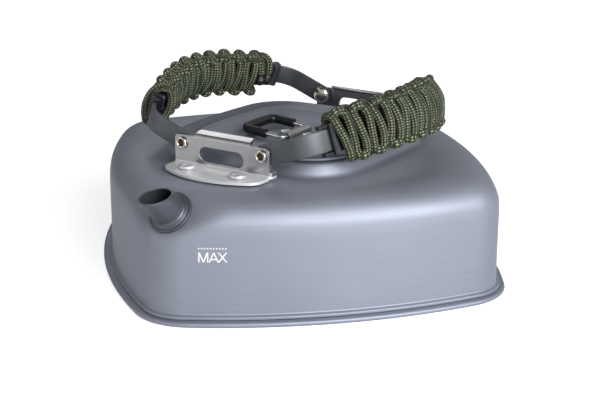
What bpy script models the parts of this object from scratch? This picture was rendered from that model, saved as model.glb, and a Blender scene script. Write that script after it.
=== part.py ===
"""Square camp kettle: a drawn body with a raised boss turned 45 degrees, a dished lid with a folding wire
bail, a corner spout, and two hoop handles that turn on a pair of slotted brackets.

Metres, z up, resting on z = 0 at the centre of the base. u is the diagonal through the spout, which points
to -u, and v runs across it. Each piece on the diagonal is meshed in its own (u, v, z) frame.
"""

import math

import bmesh
import bpy
import numpy as np

for old_object in list(bpy.data.objects):
    bpy.data.objects.remove(old_object, do_unlink=True)

# Clearances.
SEAT = 0.0003
BORE_GAP = 0.0003
CORD_SEAT = 0.00042

# Base pan.
RIM_HALF = 0.0850
RIM_SIDE_RADIUS = 0.2334
RIM_CORNER_RADIUS = 0.0221
PAN_LEDGE = 0.0024
PAN_SHEET = 0.0014
PAN_BEAD_WIDTH = 0.0034

# Body shell.
WALL_INSET = 0.0040
WALL_TOP = 0.0382
SHEET = 0.0012
SHOULDER_RUN = 0.0165
SHOULDER_RISE = 0.0124
TOP_RISE = 0.0004
FOOT_FLARE = 0.0014
FOOT_STEP_TOP = 0.0037

# Boss and the opening in it, half sizes across the flats.
BOSS_FOOT_HALF = 0.0488
BOSS_TOP_HALF = 0.0434
BOSS_TOP = 0.0570
BOSS_SIDE_RADIUS = 0.2500
BOSS_CORNER_RADIUS = 0.0190
MOUTH_HALF = 0.0340
NECK_BOTTOM = 0.0530

# Spout.
SPOUT_OUT = 0.08807
SPOUT_HEIGHT = 0.04252
SPOUT_RISE = math.radians(44.3)
SPOUT_RADIUS = 0.00658
SPOUT_WALL = 0.0010
SPOUT_REACH = 0.0135
SPOUT_MOUTH_TILT = math.radians(36.0)
SPOUT_TAIL = 0.0030
FLANGE_RADIUS = 0.0090
FLANGE_STEP_RADIUS = 0.0079
FLANGE_THICK = 0.0011
FLANGE_STEP = 0.0009
FLAT_BLEND = 0.0030

# Lid.
LID_HALF = 0.0435
LID_SIDE_RADIUS = 0.2400
LID_CORNER_RADIUS = 0.0200
LID_SHEET = 0.0011
LID_CREST = 0.0590
LID_BAND = 0.0584
LID_BAND_HALF = 0.0330
LID_FLOOR = 0.0545
LID_FLOOR_HALF = 0.0256
COLLAR_PLAY = 0.0005
COLLAR_WALL = 0.0010
COLLAR_BOTTOM = 0.0525
COLLAR_TOP = 0.0561

# Lid bail and its saddle.
BAIL_OFFSET = -0.0007
BAIL_LIFT = 0.0018
BAIL_HALF = 0.0110
BAIL_REACH = 0.0207
BAIL_WIRE_RADIUS = 0.0010
BAIL_OUTER_BEND = 0.0036
BAIL_INNER_BEND = 0.0022
SLEEVE_RADIUS = 0.0022
SLEEVE_START = 0.0087
SADDLE_HALF = 0.0086
SADDLE_TAB = 0.0093
SADDLE_TAB_HALF = 0.0036
SADDLE_SHEET = 0.0008
LID_RIVET_OUT = 0.0058
LID_RIVET_RADIUS = 0.0027
LID_RIVET_SHANK = 0.0012
LID_RIVET_HEAD = 0.0008

# Brackets.
PLATE_OUT = 0.0551
PLATE_SHEET = 0.0012
PLATE_HALF = 0.0235
EAR_TOP = 0.0643
EAR_CORNER = 0.0020
FLANGE_HALF = 0.0136
FLANGE_BEND_HEIGHT = 0.0636
FLANGE_BEND = 0.0008
FLANGE_TURN = math.radians(73.0)
FLANGE_LENGTH = 0.0032
FOOT_BEND = 0.0010
FOOT_UNDER = 0.0513
FOOT_REACH = 0.0708
FOOT_EDGE_RADIUS = 0.0400
FOOT_CORNER_OUT = 0.0615
SLOT_HALF = 0.0110
SLOT_RADIUS = 0.00325
SLOT_HEIGHT = 0.0574
TAB_IN = 0.0510
TAB_LOW = 0.0519
TAB_HIGH = 0.0545
TAB_FACE = 0.0244
FOOT_RIVET_OUT = 0.0612
FOOT_RIVET_ACROSS = 0.0127
FOOT_RIVET_RADIUS = 0.0035
FOOT_RIVET_HEAD = 0.0010
FOOT_RIVET_SHANK = 0.0020

# Pivots.
PIVOT_ACROSS = 0.01978
PIVOT_HEIGHT = 0.0609
PIVOT_SHANK = 0.00155
PIVOT_HOLLOW = 0.0010
PIVOT_HEAD_RADIUS = 0.0040
PIVOT_HEAD = 0.0021
EYELET_RADIUS = 0.0026
EYELET_LIP = 0.0009

# Handles.
STRAP_WIDTH = 0.0088
STRAP_THICK = 0.0013
HOOP_LEG = 0.01384
HOOP_BEND_RADIUS = 0.0113
HOOP_BEND_TURN = math.radians(68.07)
HOOP_RUN = 0.02616
LEFT_REST = math.radians(20.7)
RIGHT_REST = math.radians(17.8)
CORE_WIDTH = 0.0112
CORE_THICK = 0.0040
CORE_CORNER = 0.0010
CORE_FRONT = 0.0300
CORE_REAR = 0.0260
CAVITY_WIDTH = 0.0094
CAVITY_THICK = 0.0021
SCREW_FRONT = 0.0318
SCREW_RADIUS = 0.0012
SCREW_HEAD = 0.0007
SCREW_SHANK = 0.0006
CORD_RADIUS = 0.0018
CORD_LOOPS = 17
CORD_FRONT = 0.0310
CORD_REAR = 0.0352
CORD_LEAN = 0.0020
CORD_LEAN_FADE = 0.0240

DIAGONAL = math.radians(45.0)
STRAP_PLANE = PLATE_OUT - PLATE_SHEET - SEAT - STRAP_THICK / 2
HINGE_HEIGHT = LID_FLOOR + BAIL_LIFT
TOP_EDGE = WALL_TOP + SHOULDER_RISE


def material(name, colour, roughness, metallic):
    made = bpy.data.materials.new(name)
    made.use_nodes = True
    shader = made.node_tree.nodes["Principled BSDF"]
    shader.inputs["Base Color"].default_value = (*colour, 1.0)
    shader.inputs["Roughness"].default_value = roughness
    shader.inputs["Metallic"].default_value = metallic
    made.diffuse_color = (*colour, 1.0)
    return made


def loft(rings, wrap):
    """Faces between each ring and the next. With wrap the last ring joins the first, else both ends close."""
    rings = np.asarray(rings, float)
    count, around = rings.shape[:2]
    faces = []
    for first in range(count if wrap else count - 1):
        second = (first + 1) % count
        for k in range(around):
            after = (k + 1) % around
            near = first * around
            far = second * around
            faces.append((near + k, near + after, far + after, far + k))
    if not wrap:
        faces.append(tuple(range(around)))
        faces.append(tuple((count - 1) * around + k for k in range(around)))
    return rings.reshape(-1, 3), faces


def prism(outline, low, high, axis):
    """A closed outline pushed along one axis: it gives the other two coordinates in x, y, z order."""
    outline = np.asarray(outline, float)
    rings = [np.insert(outline, axis, level, axis=1) for level in (low, high)]
    return loft(rings, False)


def joined(parts):
    """Several closed meshes as one list of vertices and one of faces."""
    vertices = []
    faces = []
    for part_vertices, part_faces in parts:
        start = len(vertices)
        vertices.extend(map(tuple, part_vertices))
        faces.extend(tuple(start + k for k in face) for face in part_faces)
    return vertices, faces


def solid(name, shape, look, smooth_below=40.0):
    vertices, faces = shape
    mesh = bpy.data.meshes.new(name)
    mesh.from_pydata([tuple(map(float, v)) for v in vertices], [], faces)
    work = bmesh.new()
    work.from_mesh(mesh)
    bmesh.ops.recalc_face_normals(work, faces=work.faces)
    if work.calc_volume(signed=True) < 0:
        bmesh.ops.reverse_faces(work, faces=work.faces)
    work.to_mesh(mesh)
    work.free()
    made = bpy.data.objects.new(name, mesh)
    bpy.context.scene.collection.objects.link(made)
    finish_mesh(made, look, smooth_below)
    return made


def finish_mesh(made, look, smooth_below):
    made.data.materials.clear()
    made.data.materials.append(look)
    made.data.shade_smooth()
    made.data.set_sharp_from_angle(angle=math.radians(smooth_below))


def combine(target, shape, operation, smooth_below=40.0):
    """Cuts, joins or intersects the target with a shape in the same local frame, and keeps the result."""
    look = target.data.materials[0]
    tool = solid("tool", shape, look)
    change = target.modifiers.new("change", "BOOLEAN")
    change.operation = operation
    change.solver = "EXACT"
    change.object = tool
    bpy.context.view_layer.update()
    graph = bpy.context.evaluated_depsgraph_get()
    made = bpy.data.meshes.new_from_object(target.evaluated_get(graph))
    target.modifiers.clear()
    before = target.data
    target.data = made
    bpy.data.meshes.remove(before)
    bpy.data.objects.remove(tool, do_unlink=True)
    made.name = target.name
    finish_mesh(target, look, smooth_below)


def place(made, location, tilt, turn):
    made.location = location
    made.rotation_euler = (tilt, 0.0, turn)


def diagonal_point(along, across, height):
    """World position of a point given in u, v and z."""
    root = math.sqrt(0.5)
    return ((along - across) * root, (along + across) * root, height)


def corner_centre(half, side_radius, corner_radius):
    """Distance in x and y from the centre to the middle of the corner arc that runs into both side arcs."""
    back = side_radius - half
    reach = side_radius - corner_radius
    return (-back + math.sqrt(2 * reach**2 - back**2)) / 2


def joint_angle(half, side_radius, corner_radius):
    """Polar angle at which the side arc of a rounded square ends and its corner arc starts."""
    centre = corner_centre(half, side_radius, corner_radius)
    back = side_radius - half
    turn = math.atan2(centre, centre + back)
    return math.atan2(side_radius * math.sin(turn), side_radius * math.cos(turn) - back)


def square_radius(angles, half, side_radius, corner_radius):
    """Distance from the centre to a rounded square with bulging sides, along each polar angle."""
    centre = corner_centre(half, side_radius, corner_radius)
    back = side_radius - half
    limit = joint_angle(half, side_radius, corner_radius)
    folded = np.abs((angles + math.pi / 4) % (math.pi / 2) - math.pi / 4)
    side = -back * np.cos(folded) + np.sqrt(side_radius**2 - (back * np.sin(folded)) ** 2)
    toward = centre * (np.cos(folded) + np.sin(folded))
    corner = toward + np.sqrt(np.maximum(corner_radius**2 - 2 * centre**2 + toward**2, 0.0))
    return np.where(folded <= limit, side, corner)


def ring(angles, radii, height):
    height = np.broadcast_to(height, angles.shape)
    return np.stack([radii * np.cos(angles), radii * np.sin(angles), height], axis=1)


def offset_profile(points, distance):
    """The polyline moved to its left by the distance, with mitred corners."""
    points = np.asarray(points, float)
    steps = np.diff(points, axis=0)
    steps /= np.linalg.norm(steps, axis=1)[:, None]
    left = np.stack([-steps[:, 1], steps[:, 0]], axis=1)
    before = np.vstack([left[:1], left])
    after = np.vstack([left, left[-1:]])
    mitre = before + after
    mitre /= (1 + (before * after).sum(axis=1))[:, None]
    return points + mitre * distance


def arc(centre, radius, start, end, segments):
    angles = np.linspace(start, end, segments + 1)
    return [(centre[0] + radius * math.cos(a), centre[1] + radius * math.sin(a)) for a in angles]


def turned(profile, segments, origin, axis, side):
    """Rings of a profile of (radius, distance along the axis), turned about the axis through the origin."""
    axis = np.asarray(axis, float)
    side = np.asarray(side, float)
    other = np.cross(axis, side)
    angles = np.linspace(0, 2 * math.pi, segments, endpoint=False)
    rings = []
    for radius, distance in profile:
        spread = np.outer(np.cos(angles), side) + np.outer(np.sin(angles), other)
        rings.append(np.asarray(origin) + axis * distance + spread * radius)
    return np.array(rings)


def tube_rings(path, across, normal, radius, sides):
    """Round sections of one radius at each point of a path, given the two unit vectors that span them."""
    angles = np.linspace(0, 2 * math.pi, sides, endpoint=False)
    cosine = np.cos(angles)[None, :, None]
    sine = np.sin(angles)[None, :, None]
    return path[:, None, :] + radius * (cosine * across[:, None, :] + sine * normal[:, None, :])


def rounded_box(half_width, half_height, corner, segments):
    """Outline of a rounded rectangle, counter-clockwise from its right side."""
    outline = []
    for sign_x, sign_y, start in ((1, 1, 0), (-1, 1, 1), (-1, -1, 2), (1, -1, 3)):
        centre = (sign_x * (half_width - corner), sign_y * (half_height - corner))
        outline += arc(centre, corner, start * math.pi / 2, (start + 1) * math.pi / 2, segments)
    return np.array(outline)


ANODISED = material("anodised_grey", (0.235, 0.250, 0.285), 0.48, 0.55)
ANODISED_DARK = material("anodised_dark", (0.105, 0.112, 0.130), 0.42, 0.55)
STRAP_STEEL = material("strap_steel", (0.130, 0.145, 0.175), 0.34, 0.80)
STAINLESS = material("stainless", (0.560, 0.565, 0.570), 0.22, 1.00)
EYELET_STEEL = material("eyelet_steel", (0.480, 0.455, 0.410), 0.26, 1.00)
BLACK_PLASTIC = material("black_plastic", (0.012, 0.012, 0.013), 0.45, 0.00)
OLIVE_CORD = material("olive_cord", (0.045, 0.052, 0.030), 0.85, 0.00)

# Polar angles shared by every ring of the body: both corner arcs, and sides that tighten toward the corners.
wall_half = RIM_HALF - WALL_INSET
wall_side = RIM_SIDE_RADIUS - WALL_INSET
wall_corner = RIM_CORNER_RADIUS - WALL_INSET
wall_joint = joint_angle(wall_half, wall_side, wall_corner)
boss_joint = DIAGONAL - joint_angle(BOSS_TOP_HALF, BOSS_SIDE_RADIUS, BOSS_CORNER_RADIUS)
rise = boss_joint + (wall_joint - boss_joint) * (1 - (1 - np.linspace(0, 1, 4)) ** 1.5)
mid_side = np.linspace(0, boss_joint, 3)
mid_corner = np.linspace(wall_joint, DIAGONAL, 3)
eighth = np.concatenate([mid_side[:-1], rise[:-1], mid_corner[:-1]])
quarter = np.concatenate([eighth, math.pi / 2 - np.append(eighth, DIAGONAL)[:0:-1]])
around = np.concatenate([quarter + k * math.pi / 2 for k in range(4)])


def wall_radius(inset):
    corner = max(wall_corner - inset, 0.0012)
    return square_radius(around, wall_half - inset, wall_side - inset, corner)


def boss_radius(angles, half):
    """The rounded square of the boss, turned 45 degrees, at another half size."""
    grow = half - BOSS_TOP_HALF
    corner = BOSS_CORNER_RADIUS + grow * (1.0 if grow > 0 else 0.75)
    return square_radius(angles + DIAGONAL, half, BOSS_SIDE_RADIUS + grow, corner)


# Spout frame, needed for the pressed flat that it sits on.
spout_axis = np.array([-math.cos(SPOUT_RISE), 0.0, math.sin(SPOUT_RISE)])
spout_up = np.array([math.sin(SPOUT_RISE), 0.0, math.cos(SPOUT_RISE)])
spout_seat = np.array([-SPOUT_OUT, 0.0, SPOUT_HEIGHT])
root_half = math.sqrt(0.5)
turn_diagonal = np.array([[root_half, -root_half, 0], [root_half, root_half, 0], [0, 0, 1]])
spout_axis_world = turn_diagonal @ spout_axis
spout_seat_world = turn_diagonal @ spout_seat


def press_flat(points, depth):
    """Points beyond the plane of the spout seat are pressed back onto it, with a rounded edge."""
    above = (points - spout_seat_world) @ spout_axis_world + depth
    blended = np.where(above > FLAT_BLEND, 0.0, above - (above + FLAT_BLEND) ** 2 / (4 * FLAT_BLEND))
    pressed = np.where(above < -FLAT_BLEND, above, blended)
    return points + (pressed - above)[..., None] * spout_axis_world


# Base pan: flat floor, the ledge that the wall stands on, and the bead that the kettle rests on.
pan_profile = [
    (0.0780, PAN_LEDGE - PAN_SHEET),
    (RIM_HALF - PAN_BEAD_WIDTH, PAN_LEDGE - PAN_SHEET),
    (RIM_HALF - 0.0030, 0.0),
    (RIM_HALF - 0.0011, 0.0),
    (RIM_HALF - 0.0003, 0.0005),
    (RIM_HALF, 0.0013),
    (RIM_HALF - 0.0004, 0.0021),
    (RIM_HALF - 0.0012, PAN_LEDGE),
]
pan_rings = []
for half, height in pan_profile:
    inset = RIM_HALF - half
    radii = square_radius(around, half, RIM_SIDE_RADIUS - inset, RIM_CORNER_RADIUS - inset)
    pan_rings.append(ring(around, radii, height))
base_pan = solid("base_pan", loft(pan_rings, False), ANODISED)

# Body shell: outer skin from the foot up over the shoulder and boss to the neck, then the inner skin back.
foot_bottom = PAN_LEDGE + SEAT
wall_profile = [
    (-FOOT_FLARE, foot_bottom),
    (-FOOT_FLARE, FOOT_STEP_TOP),
    (0.0, FOOT_STEP_TOP + 0.0009),
    (0.0, 0.0270),
    (0.0, 0.0340),
]
for turn in np.linspace(0, math.pi / 2, 6):
    inset = SHOULDER_RUN * (1 - math.cos(turn))
    wall_profile.append((inset, WALL_TOP + SHOULDER_RISE * math.sin(turn)))
boss_profile = [
    (BOSS_FOOT_HALF, TOP_EDGE + TOP_RISE),
    (BOSS_FOOT_HALF - 0.0018, TOP_EDGE + TOP_RISE + 0.0007),
    (BOSS_TOP_HALF + 0.0025, BOSS_TOP - 0.0032),
    (BOSS_TOP_HALF + 0.0014, BOSS_TOP - 0.0007),
    (BOSS_TOP_HALF, BOSS_TOP),
    (MOUTH_HALF + 0.0012, BOSS_TOP),
    (MOUTH_HALF, BOSS_TOP - 0.0010),
    (MOUTH_HALF, NECK_BOTTOM),
]
outer = [ring(around, wall_radius(inset), height) for inset, height in wall_profile]
edge_radius = wall_radius(SHOULDER_RUN)
foot_radius = boss_radius(around, BOSS_FOOT_HALF)
for share in (0.3, 0.7):
    height = TOP_EDGE + TOP_RISE * (1 - (1 - share) ** 2)
    outer.append(ring(around, edge_radius + (foot_radius - edge_radius) * share, height))
outer += [ring(around, boss_radius(around, half), height) for half, height in boss_profile]
outer = press_flat(np.array(outer), 0.0)

inner_wall = offset_profile([(-inset, height) for inset, height in wall_profile], SHEET)
inner_boss = offset_profile(boss_profile, SHEET)
inner = [ring(around, wall_radius(-inset), height) for inset, height in inner_wall[[0, 2, 3, 4, 6, 8, 9]]]
inner[0][:, 2] = foot_bottom
inner_edge = wall_radius(SHOULDER_RUN)
for share in (0.3, 0.7):
    height = TOP_EDGE + TOP_RISE * (1 - (1 - share) ** 2) - SHEET
    inner.append(ring(around, inner_edge + (foot_radius - inner_edge) * share, height))
inner += [ring(around, boss_radius(around, half), height) for half, height in inner_boss[[0, 1, 3, 4, 6, 7]]]
inner[-1][:, 2] = NECK_BOTTOM
inner = press_flat(np.array(inner), SHEET)
body_shell = solid("body_shell", loft(np.concatenate([outer, inner[::-1]]), True), ANODISED)

holes = []
hole_profile = [(SPOUT_RADIUS + BORE_GAP, -0.012), (SPOUT_RADIUS + BORE_GAP, 0.006)]
spout_rings = turned(hole_profile, 24, spout_seat, spout_axis, (0, 1, 0))
holes.append(loft(spout_rings @ turn_diagonal.T, False))
for side in (-1, 1):
    for across in (-1, 1):
        spot = diagonal_point(side * FOOT_RIVET_OUT, across * FOOT_RIVET_ACROSS, 0.0)
        bore = FOOT_RIVET_SHANK + BORE_GAP
        hole_profile = [(bore, TOP_EDGE - 0.004), (bore, TOP_EDGE + 0.004)]
        holes.append(loft(turned(hole_profile, 12, spot, (0, 0, 1), (1, 0, 0)), False))
combine(body_shell, joined(holes), "DIFFERENCE")

# Spout: tail through the wall, stepped flange on the flat, tube cut aslant at the mouth.
slant = math.tan(SPOUT_MOUTH_TILT)
spout_profile = [
    (SPOUT_RADIUS - 0.0003, -SPOUT_TAIL),
    (SPOUT_RADIUS, -SPOUT_TAIL + 0.0004),
    (SPOUT_RADIUS, SEAT),
    (FLANGE_RADIUS, SEAT),
    (FLANGE_RADIUS, SEAT + FLANGE_THICK - 0.0003),
    (FLANGE_RADIUS - 0.0003, SEAT + FLANGE_THICK),
    (FLANGE_STEP_RADIUS, SEAT + FLANGE_THICK),
    (FLANGE_STEP_RADIUS - 0.0001, SEAT + FLANGE_THICK + FLANGE_STEP - 0.0003),
    (FLANGE_STEP_RADIUS - 0.0005, SEAT + FLANGE_THICK + FLANGE_STEP),
    (SPOUT_RADIUS, SEAT + FLANGE_THICK + FLANGE_STEP + 0.0003),
    (SPOUT_RADIUS, SPOUT_REACH - 0.0003),
    (SPOUT_RADIUS - 0.0003, SPOUT_REACH),
    (SPOUT_RADIUS - SPOUT_WALL + 0.0002, SPOUT_REACH),
    (SPOUT_RADIUS - SPOUT_WALL, SPOUT_REACH - 0.0003),
    (SPOUT_RADIUS - SPOUT_WALL, -SPOUT_TAIL),
]
spout_rings = turned(spout_profile, 24, spout_seat, spout_axis, (0, 1, 0))
for index in range(10, 14):
    lift = (spout_rings[index] - spout_seat) @ spout_up
    spout_rings[index] -= np.outer(lift * slant, spout_axis)
spout = solid("spout", loft(spout_rings, True), ANODISED_DARK)
place(spout, (0, 0, 0), 0.0, DIAGONAL)

# Lid: rolled edge, nearly flat band, and a dish with a flat floor.
lid_corner_start = joint_angle(LID_HALF, LID_SIDE_RADIUS, LID_CORNER_RADIUS)
lid_sides = np.linspace(0, lid_corner_start, 3)[:-1]
lid_eighth = np.concatenate([lid_sides, np.linspace(lid_corner_start, DIAGONAL, 4)[:-1]])
lid_quarter = np.concatenate([lid_eighth, math.pi / 2 - np.append(lid_eighth, DIAGONAL)[:0:-1]])
lid_around = np.concatenate([lid_quarter + k * math.pi / 2 for k in range(4)])


def lid_ring(half, height):
    shrink = LID_HALF - half
    radii = square_radius(lid_around, half, LID_SIDE_RADIUS - shrink, LID_CORNER_RADIUS - 0.6 * shrink)
    return ring(lid_around, radii, height)


lid_top = [
    (LID_HALF, BOSS_TOP + SEAT),
    (LID_HALF, BOSS_TOP + SEAT + 0.0007),
    (LID_HALF - 0.0007, LID_CREST - 0.0004),
    (LID_HALF - 0.0018, LID_CREST),
    (LID_HALF - 0.0032, LID_CREST - 0.0001),
    (LID_BAND_HALF + 0.0010, LID_BAND),
    (LID_BAND_HALF - 0.0008, LID_BAND - 0.0007),
    (LID_FLOOR_HALF + 0.0014, LID_FLOOR + 0.0005),
    (LID_FLOOR_HALF - 0.0004, LID_FLOOR),
]
lid_under = offset_profile(lid_top, LID_SHEET)
lid_under[0] = (LID_HALF - LID_SHEET, BOSS_TOP + SEAT)
lid_rings = [lid_ring(half, height) for half, height in lid_top[::-1]]
lid_rings += [lid_ring(half, height) for half, height in lid_under]
lid = solid("lid", loft(lid_rings, False), ANODISED)
rivet_holes = []
for across in (-1, 1):
    spot = (0.0, BAIL_OFFSET + across * LID_RIVET_OUT, 0.0)
    bore = LID_RIVET_SHANK + BORE_GAP
    hole_profile = [(bore, LID_FLOOR - 0.004), (bore, LID_FLOOR + 0.002)]
    rivet_holes.append(loft(turned(hole_profile, 10, spot, (0, 0, 1), (1, 0, 0)), False))
combine(lid, joined(rivet_holes), "DIFFERENCE")
place(lid, (0, 0, 0), 0.0, DIAGONAL)

# Collar: a band under the lid that drops into the neck.
collar_out = MOUTH_HALF - COLLAR_PLAY
collar_rings = []
for half, height in (
    (collar_out, COLLAR_BOTTOM + 0.0005),
    (collar_out, COLLAR_TOP),
    (collar_out - COLLAR_WALL, COLLAR_TOP),
    (collar_out - COLLAR_WALL, COLLAR_BOTTOM),
    (collar_out - 0.0004, COLLAR_BOTTOM),
):
    grow = half - BOSS_TOP_HALF
    radii = square_radius(lid_around, half, BOSS_SIDE_RADIUS + grow, BOSS_CORNER_RADIUS + 0.75 * grow)
    collar_rings.append(ring(lid_around, radii, height))
lid_collar = solid("lid_collar", loft(collar_rings, True), ANODISED)
place(lid_collar, (0, 0, 0), 0.0, DIAGONAL)

# Saddle: two riveted tabs with a hump over the bail wire between them.
hump_inside = BAIL_WIRE_RADIUS + BORE_GAP
tab_low = LID_FLOOR + SEAT
hump_outside = hump_inside + SADDLE_SHEET
saddle_outline = [(hump_outside, tab_low)]
saddle_outline += arc((0.0, HINGE_HEIGHT), hump_outside, 0.0, math.pi, 10)
saddle_outline += [(-hump_outside, tab_low), (-hump_inside, tab_low)]
saddle_outline += arc((0.0, HINGE_HEIGHT), hump_inside, math.pi, 0.0, 8)
saddle_outline += [(hump_inside, tab_low)]
lid_hinge_saddle = solid("lid_hinge_saddle", prism(saddle_outline, -SADDLE_HALF, SADDLE_HALF, 0), STAINLESS)
for across in (-1, 1):
    tab_end = SADDLE_TAB - SADDLE_TAB_HALF
    outline = arc((0.0, across * tab_end), SADDLE_TAB_HALF, 0.0, across * math.pi, 8)
    root = across * (hump_inside + SADDLE_SHEET / 2)
    outline += [(-SADDLE_TAB_HALF, root), (SADDLE_TAB_HALF, root)]
    combine(lid_hinge_saddle, prism(outline, tab_low + 0.00001, tab_low + SADDLE_SHEET, 2), "UNION")
tab_holes = []
for across in (-1, 1):
    spot = (0.0, across * LID_RIVET_OUT, 0.0)
    bore = LID_RIVET_SHANK + BORE_GAP
    hole_profile = [(bore, tab_low - 0.002), (bore, tab_low + 0.003)]
    tab_holes.append(loft(turned(hole_profile, 10, spot, (0, 0, 1), (1, 0, 0)), False))
combine(lid_hinge_saddle, joined(tab_holes), "DIFFERENCE")
place(lid_hinge_saddle, diagonal_point(0.0, BAIL_OFFSET, 0.0), 0.0, DIAGONAL)

rivet_face = tab_low + SADDLE_SHEET + SEAT
tail_face = LID_FLOOR - LID_SHEET - SEAT
for label, across in (("a", -1), ("b", 1)):
    profile = [
        (LID_RIVET_RADIUS - 0.0007, tail_face - 0.0007),
        (LID_RIVET_RADIUS - 0.0004, tail_face),
        (LID_RIVET_SHANK, tail_face),
        (LID_RIVET_SHANK, rivet_face),
        (LID_RIVET_RADIUS, rivet_face),
        (LID_RIVET_RADIUS, rivet_face + LID_RIVET_HEAD * 0.5),
        (LID_RIVET_RADIUS - 0.0006, rivet_face + LID_RIVET_HEAD),
    ]
    shape = loft(turned(profile, 12, (0, 0, 0), (0, 0, 1), (1, 0, 0)), False)
    rivet = solid("lid_rivet_" + label, shape, STAINLESS)
    place(rivet, diagonal_point(0.0, BAIL_OFFSET + across * LID_RIVET_OUT, 0.0), 0.0, DIAGONAL)

# Bail: one closed wire loop hinged along u, meshed flat with its hinge line on the local x axis.
bail_slope = (SLEEVE_RADIUS + SEAT - BAIL_LIFT) / SLEEVE_START
bail_rest = math.asin(bail_slope)


def bail_path(first, last, segments):
    """Centreline of the loop from one corner bend to the other by way of the outer bar, as x, y pairs."""
    points = [(-BAIL_HALF, first)]
    bend = BAIL_OUTER_BEND
    points += arc((-BAIL_HALF + bend, BAIL_REACH - bend), bend, math.pi, math.pi / 2, segments)
    points += arc((BAIL_HALF - bend, BAIL_REACH - bend), bend, math.pi / 2, 0.0, segments)
    points.append((BAIL_HALF, last))
    return points


def flat_frames(points, closed):
    """Path points in the xy plane with the in-plane normal and the upright vector at each."""
    path = np.array([(x, y, 0.0) for x, y in points])
    if closed:
        heading = np.roll(path, -1, axis=0) - np.roll(path, 1, axis=0)
    else:
        heading = np.gradient(path, axis=0)
        heading[0] = path[1] - path[0]
        heading[-1] = path[-1] - path[-2]
    heading /= np.linalg.norm(heading, axis=1)[:, None]
    across = np.stack([-heading[:, 1], heading[:, 0], np.zeros(len(path))], axis=1)
    return path, across, np.tile((0.0, 0.0, 1.0), (len(path), 1))


wire_loop = bail_path(BAIL_INNER_BEND, BAIL_INNER_BEND, 4)
bend = BAIL_INNER_BEND
wire_loop += arc((BAIL_HALF - bend, bend), bend, 0.0, -math.pi / 2, 3)[1:]
wire_loop += arc((-BAIL_HALF + bend, bend), bend, -math.pi / 2, -math.pi, 3)[:-1]
wire_rings = tube_rings(*flat_frames(wire_loop, True), BAIL_WIRE_RADIUS, 8)
lid_bail = solid("lid_bail", loft(wire_rings, True), STAINLESS)
place(lid_bail, diagonal_point(0.0, BAIL_OFFSET, HINGE_HEIGHT), bail_rest, DIAGONAL)

sleeve_frames = flat_frames(bail_path(SLEEVE_START, SLEEVE_START, 4), False)
sleeve_out = tube_rings(*sleeve_frames, SLEEVE_RADIUS, 8)
sleeve_in = tube_rings(*sleeve_frames, BAIL_WIRE_RADIUS + BORE_GAP, 8)
sleeve_shape = loft(np.concatenate([sleeve_out, sleeve_in[::-1]]), True)
lid_bail_sleeve = solid("lid_bail_sleeve", sleeve_shape, BLACK_PLASTIC)
place(lid_bail_sleeve, diagonal_point(0.0, BAIL_OFFSET, HINGE_HEIGHT), bail_rest, DIAGONAL)

# Bracket: a folded strip (foot, plate, turned-in flange) trimmed to its plan and elevation, then pierced.
plate_in = PLATE_OUT - PLATE_SHEET
foot_top = FOOT_UNDER + PLATE_SHEET
fold = (PLATE_OUT + FOOT_BEND, foot_top + FOOT_BEND)
top_fold = (plate_in - FLANGE_BEND, FLANGE_BEND_HEIGHT)
flange_heading = (-math.sin(FLANGE_TURN), math.cos(FLANGE_TURN))
strip = [(FOOT_REACH + 0.004, FOOT_UNDER), (FOOT_REACH + 0.004, foot_top)]
strip += arc(fold, FOOT_BEND, -math.pi / 2, -math.pi, 4)
outer_top = arc(top_fold, FLANGE_BEND + PLATE_SHEET, 0.0, FLANGE_TURN, 5)
inner_top = arc(top_fold, FLANGE_BEND, FLANGE_TURN, 0.0, 4)
strip += outer_top
for point in (outer_top[-1], inner_top[0]):
    reach = (FLANGE_LENGTH * flange_heading[0], FLANGE_LENGTH * flange_heading[1])
    strip.append((point[0] + reach[0], point[1] + reach[1]))
strip += inner_top
strip += arc(fold, FOOT_BEND + PLATE_SHEET, -math.pi, -math.pi / 2, 5)
edge_centre = FOOT_REACH - FOOT_EDGE_RADIUS
edge_turn = math.asin((PLATE_HALF - 0.0020) / FOOT_EDGE_RADIUS)
plan = arc((edge_centre, 0.0), FOOT_EDGE_RADIUS, -edge_turn, edge_turn, 9)
plan += [(FOOT_CORNER_OUT, PLATE_HALF), (plate_in + 0.00002, PLATE_HALF), (plate_in + 0.00002, FLANGE_HALF)]
flange_back = PLATE_OUT - 0.0060
plan += arc((flange_back + 0.0029, FLANGE_HALF - 0.0018), 0.0018, math.pi / 2, math.pi, 3)
plan += [(x, -y) for x, y in plan[:9:-1]]
elevation = [(PLATE_HALF, 0.0500)]
elevation += arc((PLATE_HALF - EAR_CORNER, EAR_TOP - EAR_CORNER), EAR_CORNER, 0.0, math.pi / 2, 4)
elevation += arc((FLANGE_HALF + 0.0010, EAR_TOP + 0.0010), 0.0010, -math.pi / 2, -math.pi, 3)
elevation += [(FLANGE_HALF, 0.0700)]
elevation += [(-y, z) for y, z in elevation[::-1]]

tabs = []
for across in (-1, 1):
    bend_middle = (plate_in - 0.0004, TAB_FACE - 0.0016)
    outline = arc(bend_middle, 0.00158, 0.0, math.pi / 2, 3)
    outline += [(TAB_IN, bend_middle[1] + 0.00158), (TAB_IN, bend_middle[1] + 0.00042)]
    outline += arc(bend_middle, 0.00042, math.pi / 2, 0.0, 2)
    tabs.append(prism([(x, across * y) for x, y in outline], TAB_LOW, TAB_HIGH, 2))

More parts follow.
